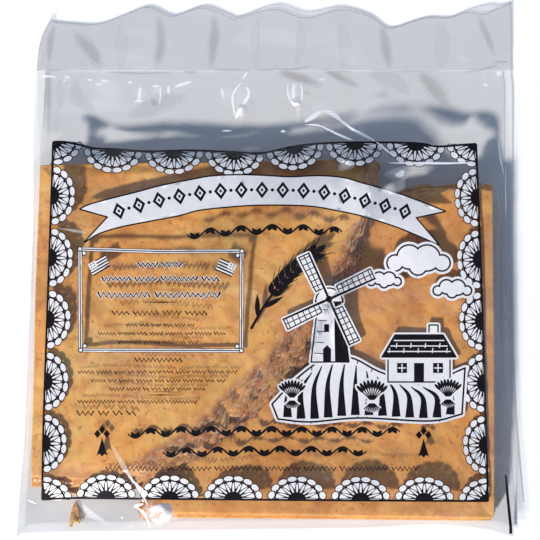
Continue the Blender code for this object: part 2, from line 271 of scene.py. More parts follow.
ERMINES = ((102.2, 435.4), (423.6, 436.6))
GAUGE_MARK = ((504.6, 475), (506.6, 475), (513.2, 537), (508.8, 537))
EAR_STEM = ((251, 329), (266, 303), (288, 275), (318, 251))
MILL_FOOT = (330, 362)
MILL_HUB = (329, 299)
# Painted highlights: bright glints on the creased film
GLINTS = (  # width and points of each
    (4.6, (305, 122.6), (313, 117.6), (322, 111.6)), (4.4, (322, 111.6), (331, 113.6), (342, 121.8)),
    (3.2, (336, 117.6), (351, 128.6), (374.5, 142)), (1.6, (305, 125.4), (317, 125.8), (327, 129.0)),
    (2.4, (322, 127.2), (337, 134.6), (353, 141.8)), (1.8, (376, 143), (391, 155)),
    (2.2, (247.6, 72.1), (242.6, 79.6)), (2.2, (240.6, 83.6), (232.6, 97), (235.6, 119)),
    (3.2, (246.4, 87.4), (249, 94), (242.4, 107), (235.6, 119.4)),
    (2.4, (287.6, 84.6), (288.2, 96), (294.4, 104.8), (300.8, 102.6), (302.2, 94), (300.8, 83)),
    (3.6, (293.9, 84.6), (293.4, 93), (293.6, 102)), (3.0, (140.4, 88), (139.6, 95), (138.8, 102)),
    (2.4, (134, 102.4), (139, 101.4), (143.8, 102.4)), (2.2, (152, 86.8), (159.4, 86.8)),
    (1.6, (160.2, 87), (160.4, 96), (159.6, 104)), (2.4, (168.4, 86), (168.6, 94.6)),
    (2.8, (174.4, 87.6), (183, 84.6), (192, 82.2)), (2.0, (40, 76.4), (48, 76.9), (56.4, 77.6)),
    (2.0, (64.6, 77), (70, 78.8)), (1.8, (87.6, 80.2), (92.6, 80.8)), (2.2, (100.6, 81.2), (108.6, 81.8)),
    (1.8, (95.6, 84.6), (102, 85)), (1.6, (222, 131.4), (231.6, 131.4)), (1.5, (221, 88), (224.4, 99.8)),
    (1.7, (131, 478), (140, 490), (149, 506)), (1.4, (128, 474), (141, 488), (153, 498)),
    (2.4, (137, 506), (146, 514), (150, 526)), (2.0, (388, 163.6), (430, 163.8), (470, 163.4)),
    (1.0, (504, 166), (504.6, 240), (505, 320)), (1.2, (497, 141), (499, 158), (503, 176)))
# Painted highlights: spots of glare on the film
GLARES = (  # middle, half length, half width and turn in degrees, anticlockwise
    ((162, 508), 10.5, 3.4, 8), ((166, 514), 8.5, 4.6, 62), ((157, 520), 5.0, 1.8, -30),
    ((139, 504.6), 5.0, 1.5, 15), ((154, 512), 5.0, 1.6, 55), ((399.5, 174.6), 5.0, 2.8, 25),
    ((498.6, 74.2), 2.7, 2.0, 10), ((485.4, 85.6), 2.8, 1.6, -15), ((322.4, 80), 2.2, 1.5, 0),
    ((318.6, 80.8), 1.0, 0.8, 0), ((130.2, 83), 1.7, 1.3, 0), ((419, 85), 1.6, 1.4, 0),
    ((64.6, 81), 1.3, 1.0, 0), ((283.4, 132), 2.4, 1.2, 0))
# Painted glare: soft, faint patches of light on the film
SOFT_GLARES = (  # as the glares
    ((241, 101), 7.4, 16.0, 0), ((139.6, 95.6), 5.0, 8.4, 0), ((157, 96), 5.0, 9.6, 0),
    ((295, 94), 6.6, 10.4, 0), ((321, 108), 9.0, 6.0, 35), ((298.4, 113), 1.8, 8.0, 0),
    ((399, 174), 12.0, 6.0, 15), ((226, 95), 7.0, 7.0, 0), ((346, 166), 7.0, 4.6, 10),
    ((394, 187), 11.0, 5.0, 20), ((158, 512), 15.0, 7.0, -10), ((250, 150), 9.0, 2.0, 0),
    ((91, 512), 15.0, 2.6, -38), ((100, 520), 15.0, 1.8, -24), ((123, 464), 17.0, 1.8, -59),
    ((74, 231), 12.0, 1.2, -9), ((470, 78), 16.0, 4.0, 8))
# Painted shade: soft darker bands where the film is folded, and along the right side where the piles' shadow
# falls on the floor and the crepes
SHADES = (  # width, levels and points of each
    (15.0, 3, (74, 30), (80.3, 39.6), (91, 51), (101.4, 68)),
    (12.0, 3, (158, 14), (161.2, 42), (156, 69)), (12.0, 3, (213, 13), (214.8, 31.6), (210.6, 69)),
    (12.0, 3, (379, 24), (382.9, 31.6), (389.6, 69)),
    (8.0, 3, (478, 14), (483.3, 27.8), (488.1, 38.3), (494, 56)),
    (9.0, 1, (256, 66), (255, 42), (258, 18)), (12.0, 3, (276, 71.4), (302, 78.7), (322, 86)),
    (9.0, 3, (322, 69), (341.8, 78.7), (361, 88)), (16.0, 2, (128, 116.8), (156, 106), (186, 96.3)),
    (18.0, 3, (417, 72), (429, 83), (438, 93.3), (450, 110)),
    (16.0, 2, (368, 71), (394.5, 81.8), (410, 94)), (7.0, 1, (60, 80), (60, 109)),
    (6.0, 1, (57, 108), (57, 136)), (13.0, 2, (75, 80), (78, 98), (95, 113)),
    (2.0, 3, (386, 162), (430, 162.2), (471, 162)), (2.0, 3, (386, 165.4), (430, 165.6), (470, 165.2)),
    (2.2, 3, (388, 169.8), (430, 170), (470, 169.6)), (8.0, 3, (48.6, 62), (48.4, 100), (48.2, 141)),
    (8.0, 3, (55, 24), (50.8, 40), (48.8, 64)), (9.0, 1, (300, 20), (301, 44), (297, 64)),
    (12.0, 1, (120, 26), (122, 46), (120, 68)), (14.0, 1, (440, 22), (443, 46), (441, 68)),
    (12.0, 1, (340, 22), (345, 46), (343, 68)), (12.0, 3, (489, 196), (490.4, 340), (491.4, 484)),
    (3.6, 3, (513, 110), (514.6, 300), (522.6, 514)), (6.0, 3, (499.6, 166), (500.4, 320), (501, 470)),
    (7.0, 3, (508, 166), (511, 320), (516, 480)), (7.0, 3, (515, 420), (519, 470), (521, 514)))
SHADE_LEVELS = 3
SOFT_GLARE_LEVELS = 2
WELD_MARKS = (
    ((47.5, 70.6), (57.3, 70.8), (66, 69.6)), ((108, 72.4), (140, 73.4), (172, 73.0)),
    ((184, 72), (197, 72)), ((215, 70), (232, 70.6), (253, 71.0)), ((253, 71), (276, 69.6)),
    ((275, 69.4), (292, 70), (303, 67.7), (311, 66.4)), ((330, 71.4), (352, 72.0)),
    ((389, 71.8), (415, 71.6), (440, 71.3)), ((464, 72.7), (480, 70), (498, 65)),
    ((494, 62.2), (508, 62.0)))
HILL = ((272, 404), (296, 379), (326, 358), (352, 358), (380, 372), (412, 381), (440, 378), (465, 368))
HILL_FOOT = ((462, 414), (430, 421), (360, 418), (310, 422), (278, 419))
COTTAGE = (388, 382)  # foot of its left corner
CLOUDS = ((418, 262, 1.0), (452, 290, 0.62), (384, 281, 0.55))


def sight_line(place):
    """Direction from the camera through a pixel of the photograph."""
    focal = PIXELS / 2 / tan(CAMERA_VIEW / 2)
    local = Vector((place[0] - PIXELS / 2, PIXELS / 2 - place[1], -focal))
    return camera_turn() @ local.normalized()


def seen_place(place, height=FILM_HEIGHT):
    """Plan position of what a pixel shows at a height."""
    eye = camera_place()
    way = sight_line(place)
    return np.array((eye + way * ((height - eye.z) / way.z))[:2])


def camera_turn():
    return Matrix.Rotation(CAMERA_TILT, 3, "X")


def camera_place():
    return Vector(AIM) + camera_turn() @ Vector((0.0, 0.0, CAMERA_DISTANCE))


def bell(t):
    return np.exp(-(t ** 2))


def clip_step(t):
    t = np.clip(t, 0.0, 1.0)
    return t * t * (3.0 - 2.0 * t)


def even(count):
    return np.linspace(0.0, 1.0, count)


def curve_at(points, shares):
    """Points at the given shares of the length of a smooth curve through the given ones."""
    p = np.array(points)
    p = np.vstack([2 * p[0] - p[1], p, 2 * p[-1] - p[-2]])
    t = even(CURVE_STEPS + 1)[:-1, None]
    runs = []
    for i in range(1, len(p) - 2):
        a, b, c, d = p[i - 1 : i + 3]
        runs.append(0.5 * (2 * b + (c - a) * t + (2 * a - 5 * b + 4 * c - d) * t**2
                           + (3 * b - a - 3 * c + d) * t**3))
    fine = np.vstack(runs + [p[-2:-1]])
    run = np.concatenate([[0.0], np.cumsum(np.linalg.norm(np.diff(fine, axis=0), axis=1))])
    at = np.asarray(shares) * run[-1]
    return np.stack([np.interp(at, run, fine[:, k]) for k in range(2)], axis=1)


def patch(low, high, left, right, us, vs):
    """Plan positions blended between four sides, a row for each v and a column for each u."""
    low, high = (curve_at(side, us)[None, :, :] for side in (low, high))
    left, right = (curve_at(side, vs)[:, None, :] for side in (left, right))
    u = np.asarray(us)[None, :, None]
    v = np.asarray(vs)[:, None, None]
    corners = ((1 - u) * (1 - v) * low[:, :1] + u * (1 - v) * low[:, -1:]
               + (1 - u) * v * high[:, :1] + u * v * high[:, -1:])
    return (1 - v) * low + v * high + (1 - u) * left + u * right - corners


def pocket_plan(us, vs):
    return patch(FOOT_LINE, WELD_LINE, LEFT_LINE, RIGHT_LINE, us, vs)


def header_plan(us, vs):
    return patch(WELD_LINE, LIP_LINE, HEADER_LEFT, HEADER_RIGHT, us, vs)


def inside_edges(plan, corner, turn, way):
    """Distance in from two straight edges that leave a corner."""
    x = plan[..., 0] - corner[0]
    y = plan[..., 1] - corner[1]
    along = x * cos(turn) + y * sin(turn)
    across = y * cos(turn) - x * sin(turn)
    return np.minimum(along, -across) * way


def inside_fan(plan, corner, turn, way):
    """Distance in from the outline of a quarter disc whose straight edges leave the corner."""
    away = np.linalg.norm(plan - np.array(corner), axis=-1)
    return np.minimum(inside_edges(plan, corner, turn, way), CREPE_RADIUS - away)


def inside_upper(plan):
    return inside_fan(plan, UPPER_CORNER, UPPER_TURN, 1)


def inside_lower(plan):
    return inside_fan(plan, LOWER_CORNER, LOWER_TURN, -1)


def climb(plan):
    """Height of what carries the upper pile: none, then the pressed lower pile."""
    return PILE_PACKED * clip_step((inside_lower(plan) + PILE_DRAPE) / (PILE_DRAPE + PILE_EDGE))


def inside_seams(us, vs):
    """Distance in from the seams and the weld, less than 0 on them."""
    wide = clip_step((vs - WIDE_SEAM_FROM) / WIDE_SEAM_RAMP)[:, None]
    left = us[None, :] * WIDTH - NARROW_SEAM - (SEAM_WIDTH - NARROW_SEAM) * wide
    right = (1 - us[None, :]) * WIDTH - SEAM_WIDTH
    foot = vs[:, None] * LENGTH - NARROW_SEAM
    return np.minimum(np.minimum(np.minimum(left, right), foot), (1 - vs[:, None]) * LENGTH)


def seam_height(vs):
    return (WELD_RISE + (SEAM_RISE - WELD_RISE) * clip_step((1 - vs) / WELD_REACH))[:, None]


def pocket_back(us, vs, plan, contents):
    """Heights of the back film: up at the seams, and pressed flat wherever crepe lies on it."""
    inner = inside_seams(us, vs)
    eased = np.where(inner < SEAM_EASE, seam_height(vs) * (1 - clip_step(inner / SEAM_EASE)), 0.0)
    undersides = -widened(-first_heights(tree_of(contents), plan, 1.0, BAG_REACH), 1)
    return np.minimum(eased + BACK_LIFT, undersides - BACK_LIFT)


def first_heights(tree, plan, way, missed):
    """Height of the first face met at each place of a plan, going up (way 1) or down (way -1)."""
    heights = np.full(plan.shape[:2], missed)
    for i, row in enumerate(plan):
        for j, (x, y) in enumerate(row):
            hit = tree.ray_cast(Vector((x, y, -BAG_REACH * way)), Vector((0.0, 0.0, way)))[0]
            if hit:
                heights[i, j] = hit.z
    return heights


def widened(heights, times):
    """Each height raised to its highest neighbour's."""
    for _ in range(times):
        pad = np.pad(heights, 1, mode="edge")
        heights = np.max([pad[i : i + heights.shape[0], j : j + heights.shape[1]]
                          for i in range(3) for j in range(3)], axis=0)
    return heights


def blurred(field, reach):
    """A field smoothed over a reach given in cells across and along."""
    for axis, cells in enumerate(reach):
        count = int(BLUR_REACH * cells) + 1
        kernel = bell(np.arange(-count, count + 1) / cells)
        kernel /= kernel.sum()
        pad = [(count, count) if k == axis else (0, 0) for k in range(2)]
        field = np.apply_along_axis(np.convolve, axis, np.pad(field, pad, mode="edge"), kernel, "valid")
    return field


def slack_limit(top, us, vs):
    """Highest that the film lies over the crepes, whose steps it follows softly."""
    reach = (DRAPE_REACH * (len(vs) - 1) / LENGTH, DRAPE_REACH * (len(us) - 1) / WIDTH)
    covered = (top > PILE_HEIGHT / 2).astype(float)
    share = blurred(covered, reach)
    softened = blurred(top * covered, reach) / np.maximum(share, 0.01)
    return softened * np.minimum(2 * share, 1.0) + AIR_GAP


def relax(z, us, vs, top, steps):
    """Membrane over the crepes, held at the seams and puffed by air."""
    free = inside_seams(us, vs) > 0
    held = seam_height(vs) + FILM_GAP
    floor = np.where(free, np.maximum(top + SLACK, held), held)
    limit = slack_limit(top, us, vs) + lifted(pocket_plan(us, vs), AIR_POCKETS)
    lift = PUFF * (WIDTH / (len(us) - 1)) * (LENGTH / (len(vs) - 1)) / 4
    z = np.maximum(z, floor)
    for _ in range(steps):
        mean = z.copy()
        mean[1:-1, 1:-1] = (z[:-2, 1:-1] + z[2:, 1:-1] + z[1:-1, :-2] + z[1:-1, 2:]) / 4
        z = np.where(free, np.maximum(np.minimum(mean + lift, limit), floor), floor)
    return z


def refined(z, us, vs):
    """A grid over the unit square, sampled at rows vs and columns us."""
    rows = np.stack([np.interp(us, np.linspace(0, 1, z.shape[1]), row) for row in z])
    return np.stack([np.interp(vs, np.linspace(0, 1, z.shape[0]), rows[:, k])
                     for k in range(len(us))], axis=1)


def from_segment(plan, start, end):
    """Distance of each place from a segment."""
    along = end - start
    share = np.clip((plan - start) @ along / (along @ along), 0.0, 1.0)
    return np.linalg.norm(plan - start - share[..., None] * along, axis=-1)


def lifted(plan, bumps):
    """Round bumps, each from its place in the photograph, its radius and its height."""
    lift = np.zeros(plan.shape[:2])
    for place, radius, height in bumps:
        away = np.linalg.norm(plan - seen_place(place), axis=-1)
        lift += height * bell(away / radius)
    return lift


def film_relief(plan):
    """Air bumps, creases and small facets that catch the sun."""
    relief = lifted(plan, AIR_BUMPS)
    for start, end, height, width in CREASES:
        away = from_segment(plan, seen_place(start), seen_place(end))
        relief += height * bell(away / width)
    for place, radius in FACETS:
        offset = plan - seen_place(place)
        away = np.linalg.norm(offset, axis=-1) / radius
        relief += (offset @ np.array(GLINT_SLOPE) + radius * FACET_RISE) * np.exp(-(away ** 4))
    return relief


def pocket_front(piles):
    """Front film of the pocket, solved on ever finer grids."""
    z = np.zeros((3, 3))
    tree = tree_of(piles)
    for share, steps in SOLVING:
        us = even(POCKET_CELLS[0] // share + 1)
        vs = even(POCKET_CELLS[1] // share + 1)
        plan = pocket_plan(us, vs)
        top = widened(first_heights(tree, plan, -1.0, 0.0), 2 // share)
        z = relax(refined(z, us, vs), us, vs, top, steps)
    inner = clip_step(inside_seams(us, vs) / RELIEF_EASE)
    return us, vs, plan, z + film_relief(plan) * inner


def header_back(plan, vs):
    wave = sum(bell((plan[..., 0] - at) / width) for at, width in FLUTES)
    return WELD_RISE + (LIP_RISE - WELD_RISE + FLUTE_RISE * wave) * vs[:, None]


def lip_drop(x):
    """How far the front film's lip stops short of the back one's."""
    return LIP_DROP + sum(drop * bell((x - at) / reach) for at, drop, reach in LIP_DROPS)


def header_front_plan(us, vs):
    """The front film's header: inside the left flange, short of the back film's lip, a corner curled out."""
    left = (LEFT_FLANGE[-1][1] + (LIP_FLANGE - LEFT_FLANGE[-1][1]) * vs) / WIDTH
    plan = np.vstack([header_plan(share + (1 - share) * us, v[None]) for share, v in zip(left, vs)])
    plan[..., 1] -= lip_drop(plan[..., 0]) * vs[:, None] ** 2
    curl = bell(us[None, :] * WIDTH / CURL_REACH) * vs[:, None] ** CURL_POWER
    return plan + curl[..., None] * np.array(SPIKE)


def pocket_cells(us, vs):
    """Which of the pocket's cells the front film has: none on the flanges."""
    u = (us[1:] + us[:-1]) / 2 * WIDTH
    v = (vs[1:] + vs[:-1]) / 2
    left = np.interp(v, *np.transpose(LEFT_FLANGE))[:, None]
    right = WIDTH - np.interp(v, *np.transpose(RIGHT_FLANGE))[:, None]
    return (u > left) & (u < right)


def ribs(y):
    return RIB_DEPTH * np.sin(2 * pi * y / RIB_PITCH)


def raised(plan, z):
    return np.concatenate([plan, z[..., None]], axis=-1)


def grid_object(name, grid, kept=None):
    """A sheet through a grid of points, its normals up, of those cells that are kept."""
    rows, columns = grid.shape[:2]
    index = np.arange(rows * columns).reshape(rows, columns)
    faces = np.stack([index[:-1, :-1], index[:-1, 1:], index[1:, 1:], index[1:, :-1]], axis=-1)
    faces = faces.reshape(-1, 4) if kept is None else faces[kept]
    used, faces = np.unique(faces, return_inverse=True)
    return sheet_object(name, grid.reshape(-1, 3)[used].tolist(), faces.reshape(-1, 4).tolist())


def sheet_object(name, points, faces):
    mesh = bpy.data.meshes.new(name)
    mesh.from_pydata(points, [], faces)
    return smooth_object(name, mesh)


def smooth_object(name, mesh):
    mesh.shade_smooth()
    item = bpy.data.objects.new(name, mesh)
    bpy.context.scene.collection.objects.link(item)
    return item


def edge_grid(border, inner, width):
    """A narrow strip along a border, on the side of the points inside it."""
    inward = inner - border
    inward /= np.linalg.norm(inward, axis=1)[:, None]
    lift = np.array([0.0, 0.0, PRINT_LIFT])
    return np.stack([border + inward * width, border]) + lift


def cut_notch(item):
    """Takes the flange off the foot's right end."""
    bm = bmesh.new()
    bm.from_mesh(item.data)
    for normal in (Vector((1, 0, 0)), Vector((0, 1, 0))):
        bmesh.ops.bisect_plane(bm, geom=bm.verts[:] + bm.edges[:] + bm.faces[:],
                               plane_co=(*FLANGE_NOTCH, 0.0), plane_no=normal)
    gone = [face for face in bm.faces if face.calc_center_median().x > FLANGE_NOTCH[0]
            and face.calc_center_median().y < FLANGE_NOTCH[1]]
    bmesh.ops.delete(bm, geom=gone, context="FACES")
    bm.to_mesh(item.data)
    bm.free()


def principled(name, color, roughness, **inputs):
    material = bpy.data.materials.new(name)
    material.use_nodes = True
    shader = material.node_tree.nodes["Principled BSDF"]
    shader.inputs["Base Color"].default_value = (*color, 1.0)
    shader.inputs["Roughness"].default_value = roughness
    for key, value in inputs.items():
        shader.inputs[key.replace("_", " ")].default_value = value
    return material


def tree_of(items):
    """A search tree over the faces of some objects."""
    bm = bmesh.new()
    for item in items:
        bm.from_mesh(item.data)
    tree = BVHTree.FromBMesh(bm)
    bm.free()
    return tree


def piece(item, material):
    item.data.materials.append(material)
    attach(item, "root")
    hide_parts("bag")
    return item


def make_films(piles, scrap):
    """Both films of the pocket and of the header, and the darker lines along their edges."""
    us, vs, plan, z = pocket_front(piles)
    pocket = raised(plan, z)
    front = grid_object("film_front", pocket, pocket_cells(us, vs))
    back_grid = raised(plan, pocket_back(us, vs, plan, [*piles, scrap]))
    back = grid_object("film_back", back_grid)
    header_vs = even(HEADER_ROWS + 1)
    lip_plan = header_front_plan(us, header_vs)
    parting = LIP_PARTING * header_vs[:, None] ** 2
    lip = raised(lip_plan, header_back(lip_plan, header_vs) + FILM_GAP + parting + ribs(lip_plan[..., 1]))
    rear_plan = header_plan(us, header_vs)
    rear = raised(rear_plan, header_back(rear_plan, header_vs) + ribs(rear_plan[..., 1]))
    header_front = grid_object("header_front", lip)
    header_rear = grid_object("header_back", rear)
    first = round(LEFT_FLANGE[-1][1] / WIDTH * POCKET_CELLS[0])
    low = round(LEFT_FLANGE[2][0] * POCKET_CELLS[1])
    strips = [edge_grid(lip[-1], lip[-2], 0.7 * EDGE_LINE),
              edge_grid(rear[-1], rear[-2], 0.7 * EDGE_LINE),
              edge_grid(lip[:, 0], lip[:, 1], EDGE_LINE), edge_grid(rear[:, -1], rear[:, -2], EDGE_LINE),
              edge_grid(pocket[low:, first], pocket[low:, first + 1], EDGE_LINE),
              edge_grid(back_grid[BACK_EDGE_FROM:, -1], back_grid[BACK_EDGE_FROM:, -2], 1.4 * EDGE_LINE),
              edge_grid(pocket[FRONT_EDGE_FROM:, -1 - first], pocket[FRONT_EDGE_FROM:, -2 - first],
                        0.6 * EDGE_LINE)]
    film, header_film, edge_film = (film_material(name) for name in ("film", "header_film", "film_edge"))
    for k, strip in enumerate(strips):
        edge = grid_object(f"film_edge_{k + 1}", strip)
        edge.visible_shadow = False
        piece(edge, edge_film)
    for item in (front, back):
        cut_notch(item)
        piece(item, film)
    for item in (header_front, header_rear):
        piece(item, header_film)
    return [front, header_front, back]


def unit(vector):
    return vector / np.linalg.norm(vector)


def beside(way):
    """The direction a quarter turn from another."""
    return np.array([-way[1], way[0]])


def ellipse(centre, along, half_long, half_wide, count=16):
    """Outline of an ellipse whose long axis runs along a unit vector."""
    turn = np.linspace(0.0, 2 * pi, count, endpoint=False)[:, None]
    across = beside(along)
    return np.asarray(centre) + np.cos(turn) * half_long * along + np.sin(turn) * half_wide * across


def disc(centre, radius, count):
    return ellipse(centre, np.array([1.0, 0.0]), radius, radius, count)


def stroke(points, widths):
    """A line of the given widths, as a run of quads."""
    p = np.array(points, dtype=float)
    way = np.gradient(p, axis=0)
    way /= np.linalg.norm(way, axis=1)[:, None]
    side = np.stack([-way[:, 1], way[:, 0]], axis=1)
    side *= np.broadcast_to(np.asarray(widths, dtype=float) / 2, len(p))[:, None]
    low, high = p - side, p + side
    return [np.array([low[i], low[i + 1], high[i + 1], high[i]]) for i in range(len(p) - 1)]


def outline_stroke(points, width):
    """A line round a closed outline, with a disc at each corner."""
    p = np.array(points, dtype=float)
    shapes = []
    for i in range(len(p)):
        steps = 2 + int(np.linalg.norm(p[i] - p[i - 1]) / STROKE_STEP)
        shapes += stroke(np.linspace(p[i - 1], p[i], steps), width)
        shapes.append(disc(p[i], width / 2, 8))
    return shapes


def inked(ink, outlines):
    return [(ink, outline) for outline in outlines]


def black(*outlines):
    return inked("black", outlines)


def white(*outlines):
    return inked("white", outlines)


def haloed(outline, line=1.5, halo=5.0):
    """A white form with a white rim and a black line round it."""
    return (white(*(outline_stroke(outline, halo) + [np.array(outline, dtype=float)]))
            + black(*outline_stroke(outline, line)))


def rosette(centre, along, inward, steps):
    """A lace rosette that opens inward from a point of the frame, a petal each step."""
    metres = np.stack([along, inward * ROSETTE_DEPTH]) / PIXEL_SIZE

    def placed(points, angle):
        p = np.array(points)
        turned = np.stack([p[:, 0] * cos(angle) - p[:, 1] * sin(angle),
                           p[:, 0] * sin(angle) + p[:, 1] * cos(angle)], axis=1)
        return centre + turned @ metres

    def sector(radius):
        angles = np.linspace(0.0, steps * PETAL_STEP, 5 * steps + 1)
        return placed([(0.0, 0.0)] + [(radius * cos(a), radius * sin(a)) for a in angles], 0.0)

    def mirrored(half):
        return list(half) + [(r, -w) for r, w in reversed(half)]

    def bead(grow):
        half_long, half_wide = (size + grow for size in BEAD)
        turn = np.linspace(0.0, 2 * pi, 14, endpoint=False)
        return [(BEAD_AT + half_wide * cos(t), half_long * sin(t)) for t in turn]

    between = [(k + 0.5) * PETAL_STEP for k in range(steps)]
    spokes = [k * PETAL_STEP for k in range(steps + 1)]
    ground = [sector(LACE_RADIUS)] + [placed(bead(BEAD_LINE), angle) for angle in between]
    petals = ([placed(bead(0.0), angle) for angle in between]
              + [placed(mirrored(SPOKE), angle) for angle in spokes]
              + [placed(mirrored(WEDGE), angle) for angle in between])
    return black(*ground) + white(*petals) + black(sector(HUB_RADIUS))


def lace():
    """Half rosettes along the frame, quarter ones in its corners, and the frame's own line."""
    shapes = []
    for path, shares, side in ((FRAME_TOP, ACROSS_SHARES, 1), (FRAME_FOOT, ACROSS_SHARES, -1),
                               (FRAME_LEFT, DOWN_SHARES, -1), (FRAME_RIGHT, DOWN_SHARES, 1)):
        for share in shares:
            before, centre, after = curve_at(path, (share - 0.02, share, share + 0.02))
            along = unit(after - before)
            inward = side * beside(along)
            shapes += rosette(centre + 0.8 * inward, along, inward, 8)
    for corner, right, down in ((FRAME_TOP[0], 1, 1), (FRAME_TOP[-1], -1, 1),
                                (FRAME_FOOT[0], 1, -1), (FRAME_FOOT[-1], -1, -1)):
        shapes += rosette(np.array(corner, dtype=float), np.array([right, 0.0]), np.array([0.0, down]), 4)
    for path in (FRAME_TOP, FRAME_FOOT, FRAME_LEFT, FRAME_RIGHT):
        shapes += black(*stroke(curve_at(path, even(80)), FRAME_LINE / PIXEL_SIZE))
    return shapes


def lozenge(centre, along, half_long, half_wide):
    return ellipse(centre, along, half_long, half_wide, 4)


def ribbon():
    upper = curve_at(RIBBON_UPPER, even(60))
    lower = curve_at(RIBBON_LOWER, even(60))
    outline = np.vstack([upper, RIBBON_NOTCHES[1:], lower[::-1], RIBBON_NOTCHES[:1]])
    shapes = black(*outline_stroke(outline, 2.0)) + white(outline)
    shapes += black(*outline_stroke(outline, 0.9))
    row = curve_at(RIBBON_ROW, even(2 * RIBBON_LOZENGES - 1))
    for i, centre in enumerate(row):
        along = unit(row[min(i + 1, len(row) - 1)] - row[max(i - 1, 0)])
        if i % 2:
            shapes += black(ellipse(centre, along, 1.7, 1.7, 12))
            continue
        shapes += black(lozenge(centre, along, 6.6, 8.6))
        shapes += white(lozenge(centre, along, 3.4, 4.4))
        shapes += black(lozenge(centre, along, 1.5, 2.0))
    return shapes


def words(left, right, y, height, count, rng):
    """A line of small print as short waved lines of word length."""
    lengths = rng.uniform(0.45, 1.0, count)
    lengths *= (right - left) / lengths.sum()
    start = left
    lines = []
    for length in lengths:
        end = start + length - (height * 0.8 if count > 1 else 0.0)
        peaks = max(3, round((end - start) / (0.42 * height)))
        x = np.linspace(start, end, peaks)
        swing = height / 2 * rng.uniform(0.55, 1.0, peaks)
        lines.append(np.stack([x, y + np.where(np.arange(peaks) % 2, swing, -swing)], axis=1))
        start += length
    return lines


def small_print():
    rng = np.random.default_rng(5)
    shapes = []
    for left, right, y, height, count in HALOED_LINES:
        lines = words(left, right, y, height, count, rng)
        for ink, width in (("white", 3.8), ("black", 2.1)):
            for line in lines:
                shapes += inked(ink, stroke(line, width))
    for left, right, y, height, count in PLAIN_LINES:
        for line in words(left, right, y, height, count, rng):
            shapes += black(*stroke(line, 0.20 * height + 0.45))
    for left, right, y in RULES:
        shapes += black(np.array([(left, y), ((left + right) / 2, y - 0.6), (right, y),
                                            ((left + right) / 2, y + 0.6)]))
    return shapes


def pennant(*corners):
    """A striped pennant with a white canton, from a corner, the one beside it and the one below it."""
    corner, level, below = (np.array(p, dtype=float) for p in corners)
    across, down = level - corner, below - corner

    def patch_of(u0, u1, v0, v1):
        return np.array([corner + across * u + down * v for u, v in ((u0, v0), (u1, v0), (u1, v1), (u0, v1))])

    shapes = white(patch_of(0, 1, 0, 1))
    shapes += black(*[patch_of(0, 1, k / 9, (k + 1) / 9) for k in range(2, 9, 2)])
    shapes += black(patch_of(0.42, 1, 0.0, 0.10))
    shapes += white(patch_of(0, 0.42, 0, 0.5))
    spots = [corner + across * u + down * v for u in (0.12, 0.29) for v in (0.14, 0.34)]
    return shapes + black(*[ellipse(spot, unit(across), 0.9, 0.7, 6) for spot in spots])


def panel():
    """The double-lined panel with its corner knobs and pennants."""
    corners = np.array(PANEL, dtype=float)
    middle = corners.mean(axis=0)
    shapes = black(*outline_stroke(corners, PANEL_GAP + 2.0))
    shapes += white(*outline_stroke(corners, PANEL_GAP + 0.9))
    shapes += black(*outline_stroke(corners, PANEL_GAP - 1.2))
    for corner in np.delete(corners, 1, axis=0):
        inner = corner + np.sign(middle - corner) * 4.2
        shapes += black(*[disc(p, 2.7, 10) for p in (corner, inner)])
        shapes += white(*[disc(p, 1.7, 10) for p in (corner, inner)])
    for place in PENNANTS:
        shapes += pennant(*place)
    return shapes


def vine(path):
    """A waving stem with a leaf in each bend."""
    length = np.linalg.norm(np.diff(np.array(path), axis=0), axis=1).sum()
    waves = round(length / VINE_WAVE)
    shares = even(12 * waves + 1)
    middle = curve_at(path, shares)
    swing = np.sin(shares * waves * pi)
    stem = middle + np.stack([np.zeros_like(swing), 4.4 * swing], axis=1)
    shapes = black(*stroke(stem, 2.2 - 0.8 * np.abs(2 * shares - 1)))
    for k in range(waves):
        root = stem[12 * k + 6]
        way = 1 if k % 2 else -1
        for lean in (-0.75, 0.75):
            along = unit(np.array([lean, 1.0 * way]))
            shapes += black(leaf(root, along, 7.6, 2.4))
    return shapes


def leaf(root, along, length, half_wide):
    """A pointed leaf that grows from its root."""
    shares = even(8)
    across = beside(along)
    half = half_wide * np.sin(pi * shares ** 0.8)
    right = root + np.outer(shares * length, along) + np.outer(half, across)
    left = root + np.outer(shares * length, along) - np.outer(half, across)
    return np.vstack([right, left[-2:0:-1]])


def ermine(centre):
    """Three lozenges over a tail with three points."""
    x, y = centre
    points = [(x, y + 1.8), (x + 2.8, y + 12), (x + 5.6, y + 20.4), (x + 2.6, y + 18.4), (x, y + 21),
              (x - 2.6, y + 18.4), (x - 5.6, y + 20.4), (x - 2.8, y + 12)]
    shapes = [np.array(points)]
    for dx, dy in ((0, -5.6), (-4.6, -1.6), (4.6, -1.6)):
        shapes.append(lozenge((x + dx, y + dy), np.array([0.0, 1.0]), 4.2, 3.4))
    return black(*shapes)


def wheat_ear():
    """A black ear of wheat on a bent stem."""
    stem = curve_at(EAR_STEM, even(40))
    shapes = black(*stroke(stem, np.linspace(2.8, 1.2, 40)))
    for root, lean in ((5, -1), (9, 1)):
        way = unit(stem[root + 1] - stem[root])
        side = beside(way) * lean
        shapes += black(leaf(stem[root], unit(way + 0.55 * side), 24.0, 2.6))
    for i in range(15, 38, 3):
        way = unit(stem[i + 1] - stem[i])
        for lean in (-1, 1):
            side = beside(way) * lean
            along = unit(way + 0.62 * side)
            tip = stem[i] + along * 12.5
            shapes += black(leaf(stem[i] + side * 1.0, along, 13.0, 3.1))
            shapes += black(*stroke([tip, tip + unit(way + 0.45 * side) * 11.0], (1.1, 0.5)))
    return shapes + black(leaf(stem[-2], unit(stem[-1] - stem[-2]), 13.0, 3.1))


def at_angle(angle):
    return np.array([cos(angle), -sin(angle)])


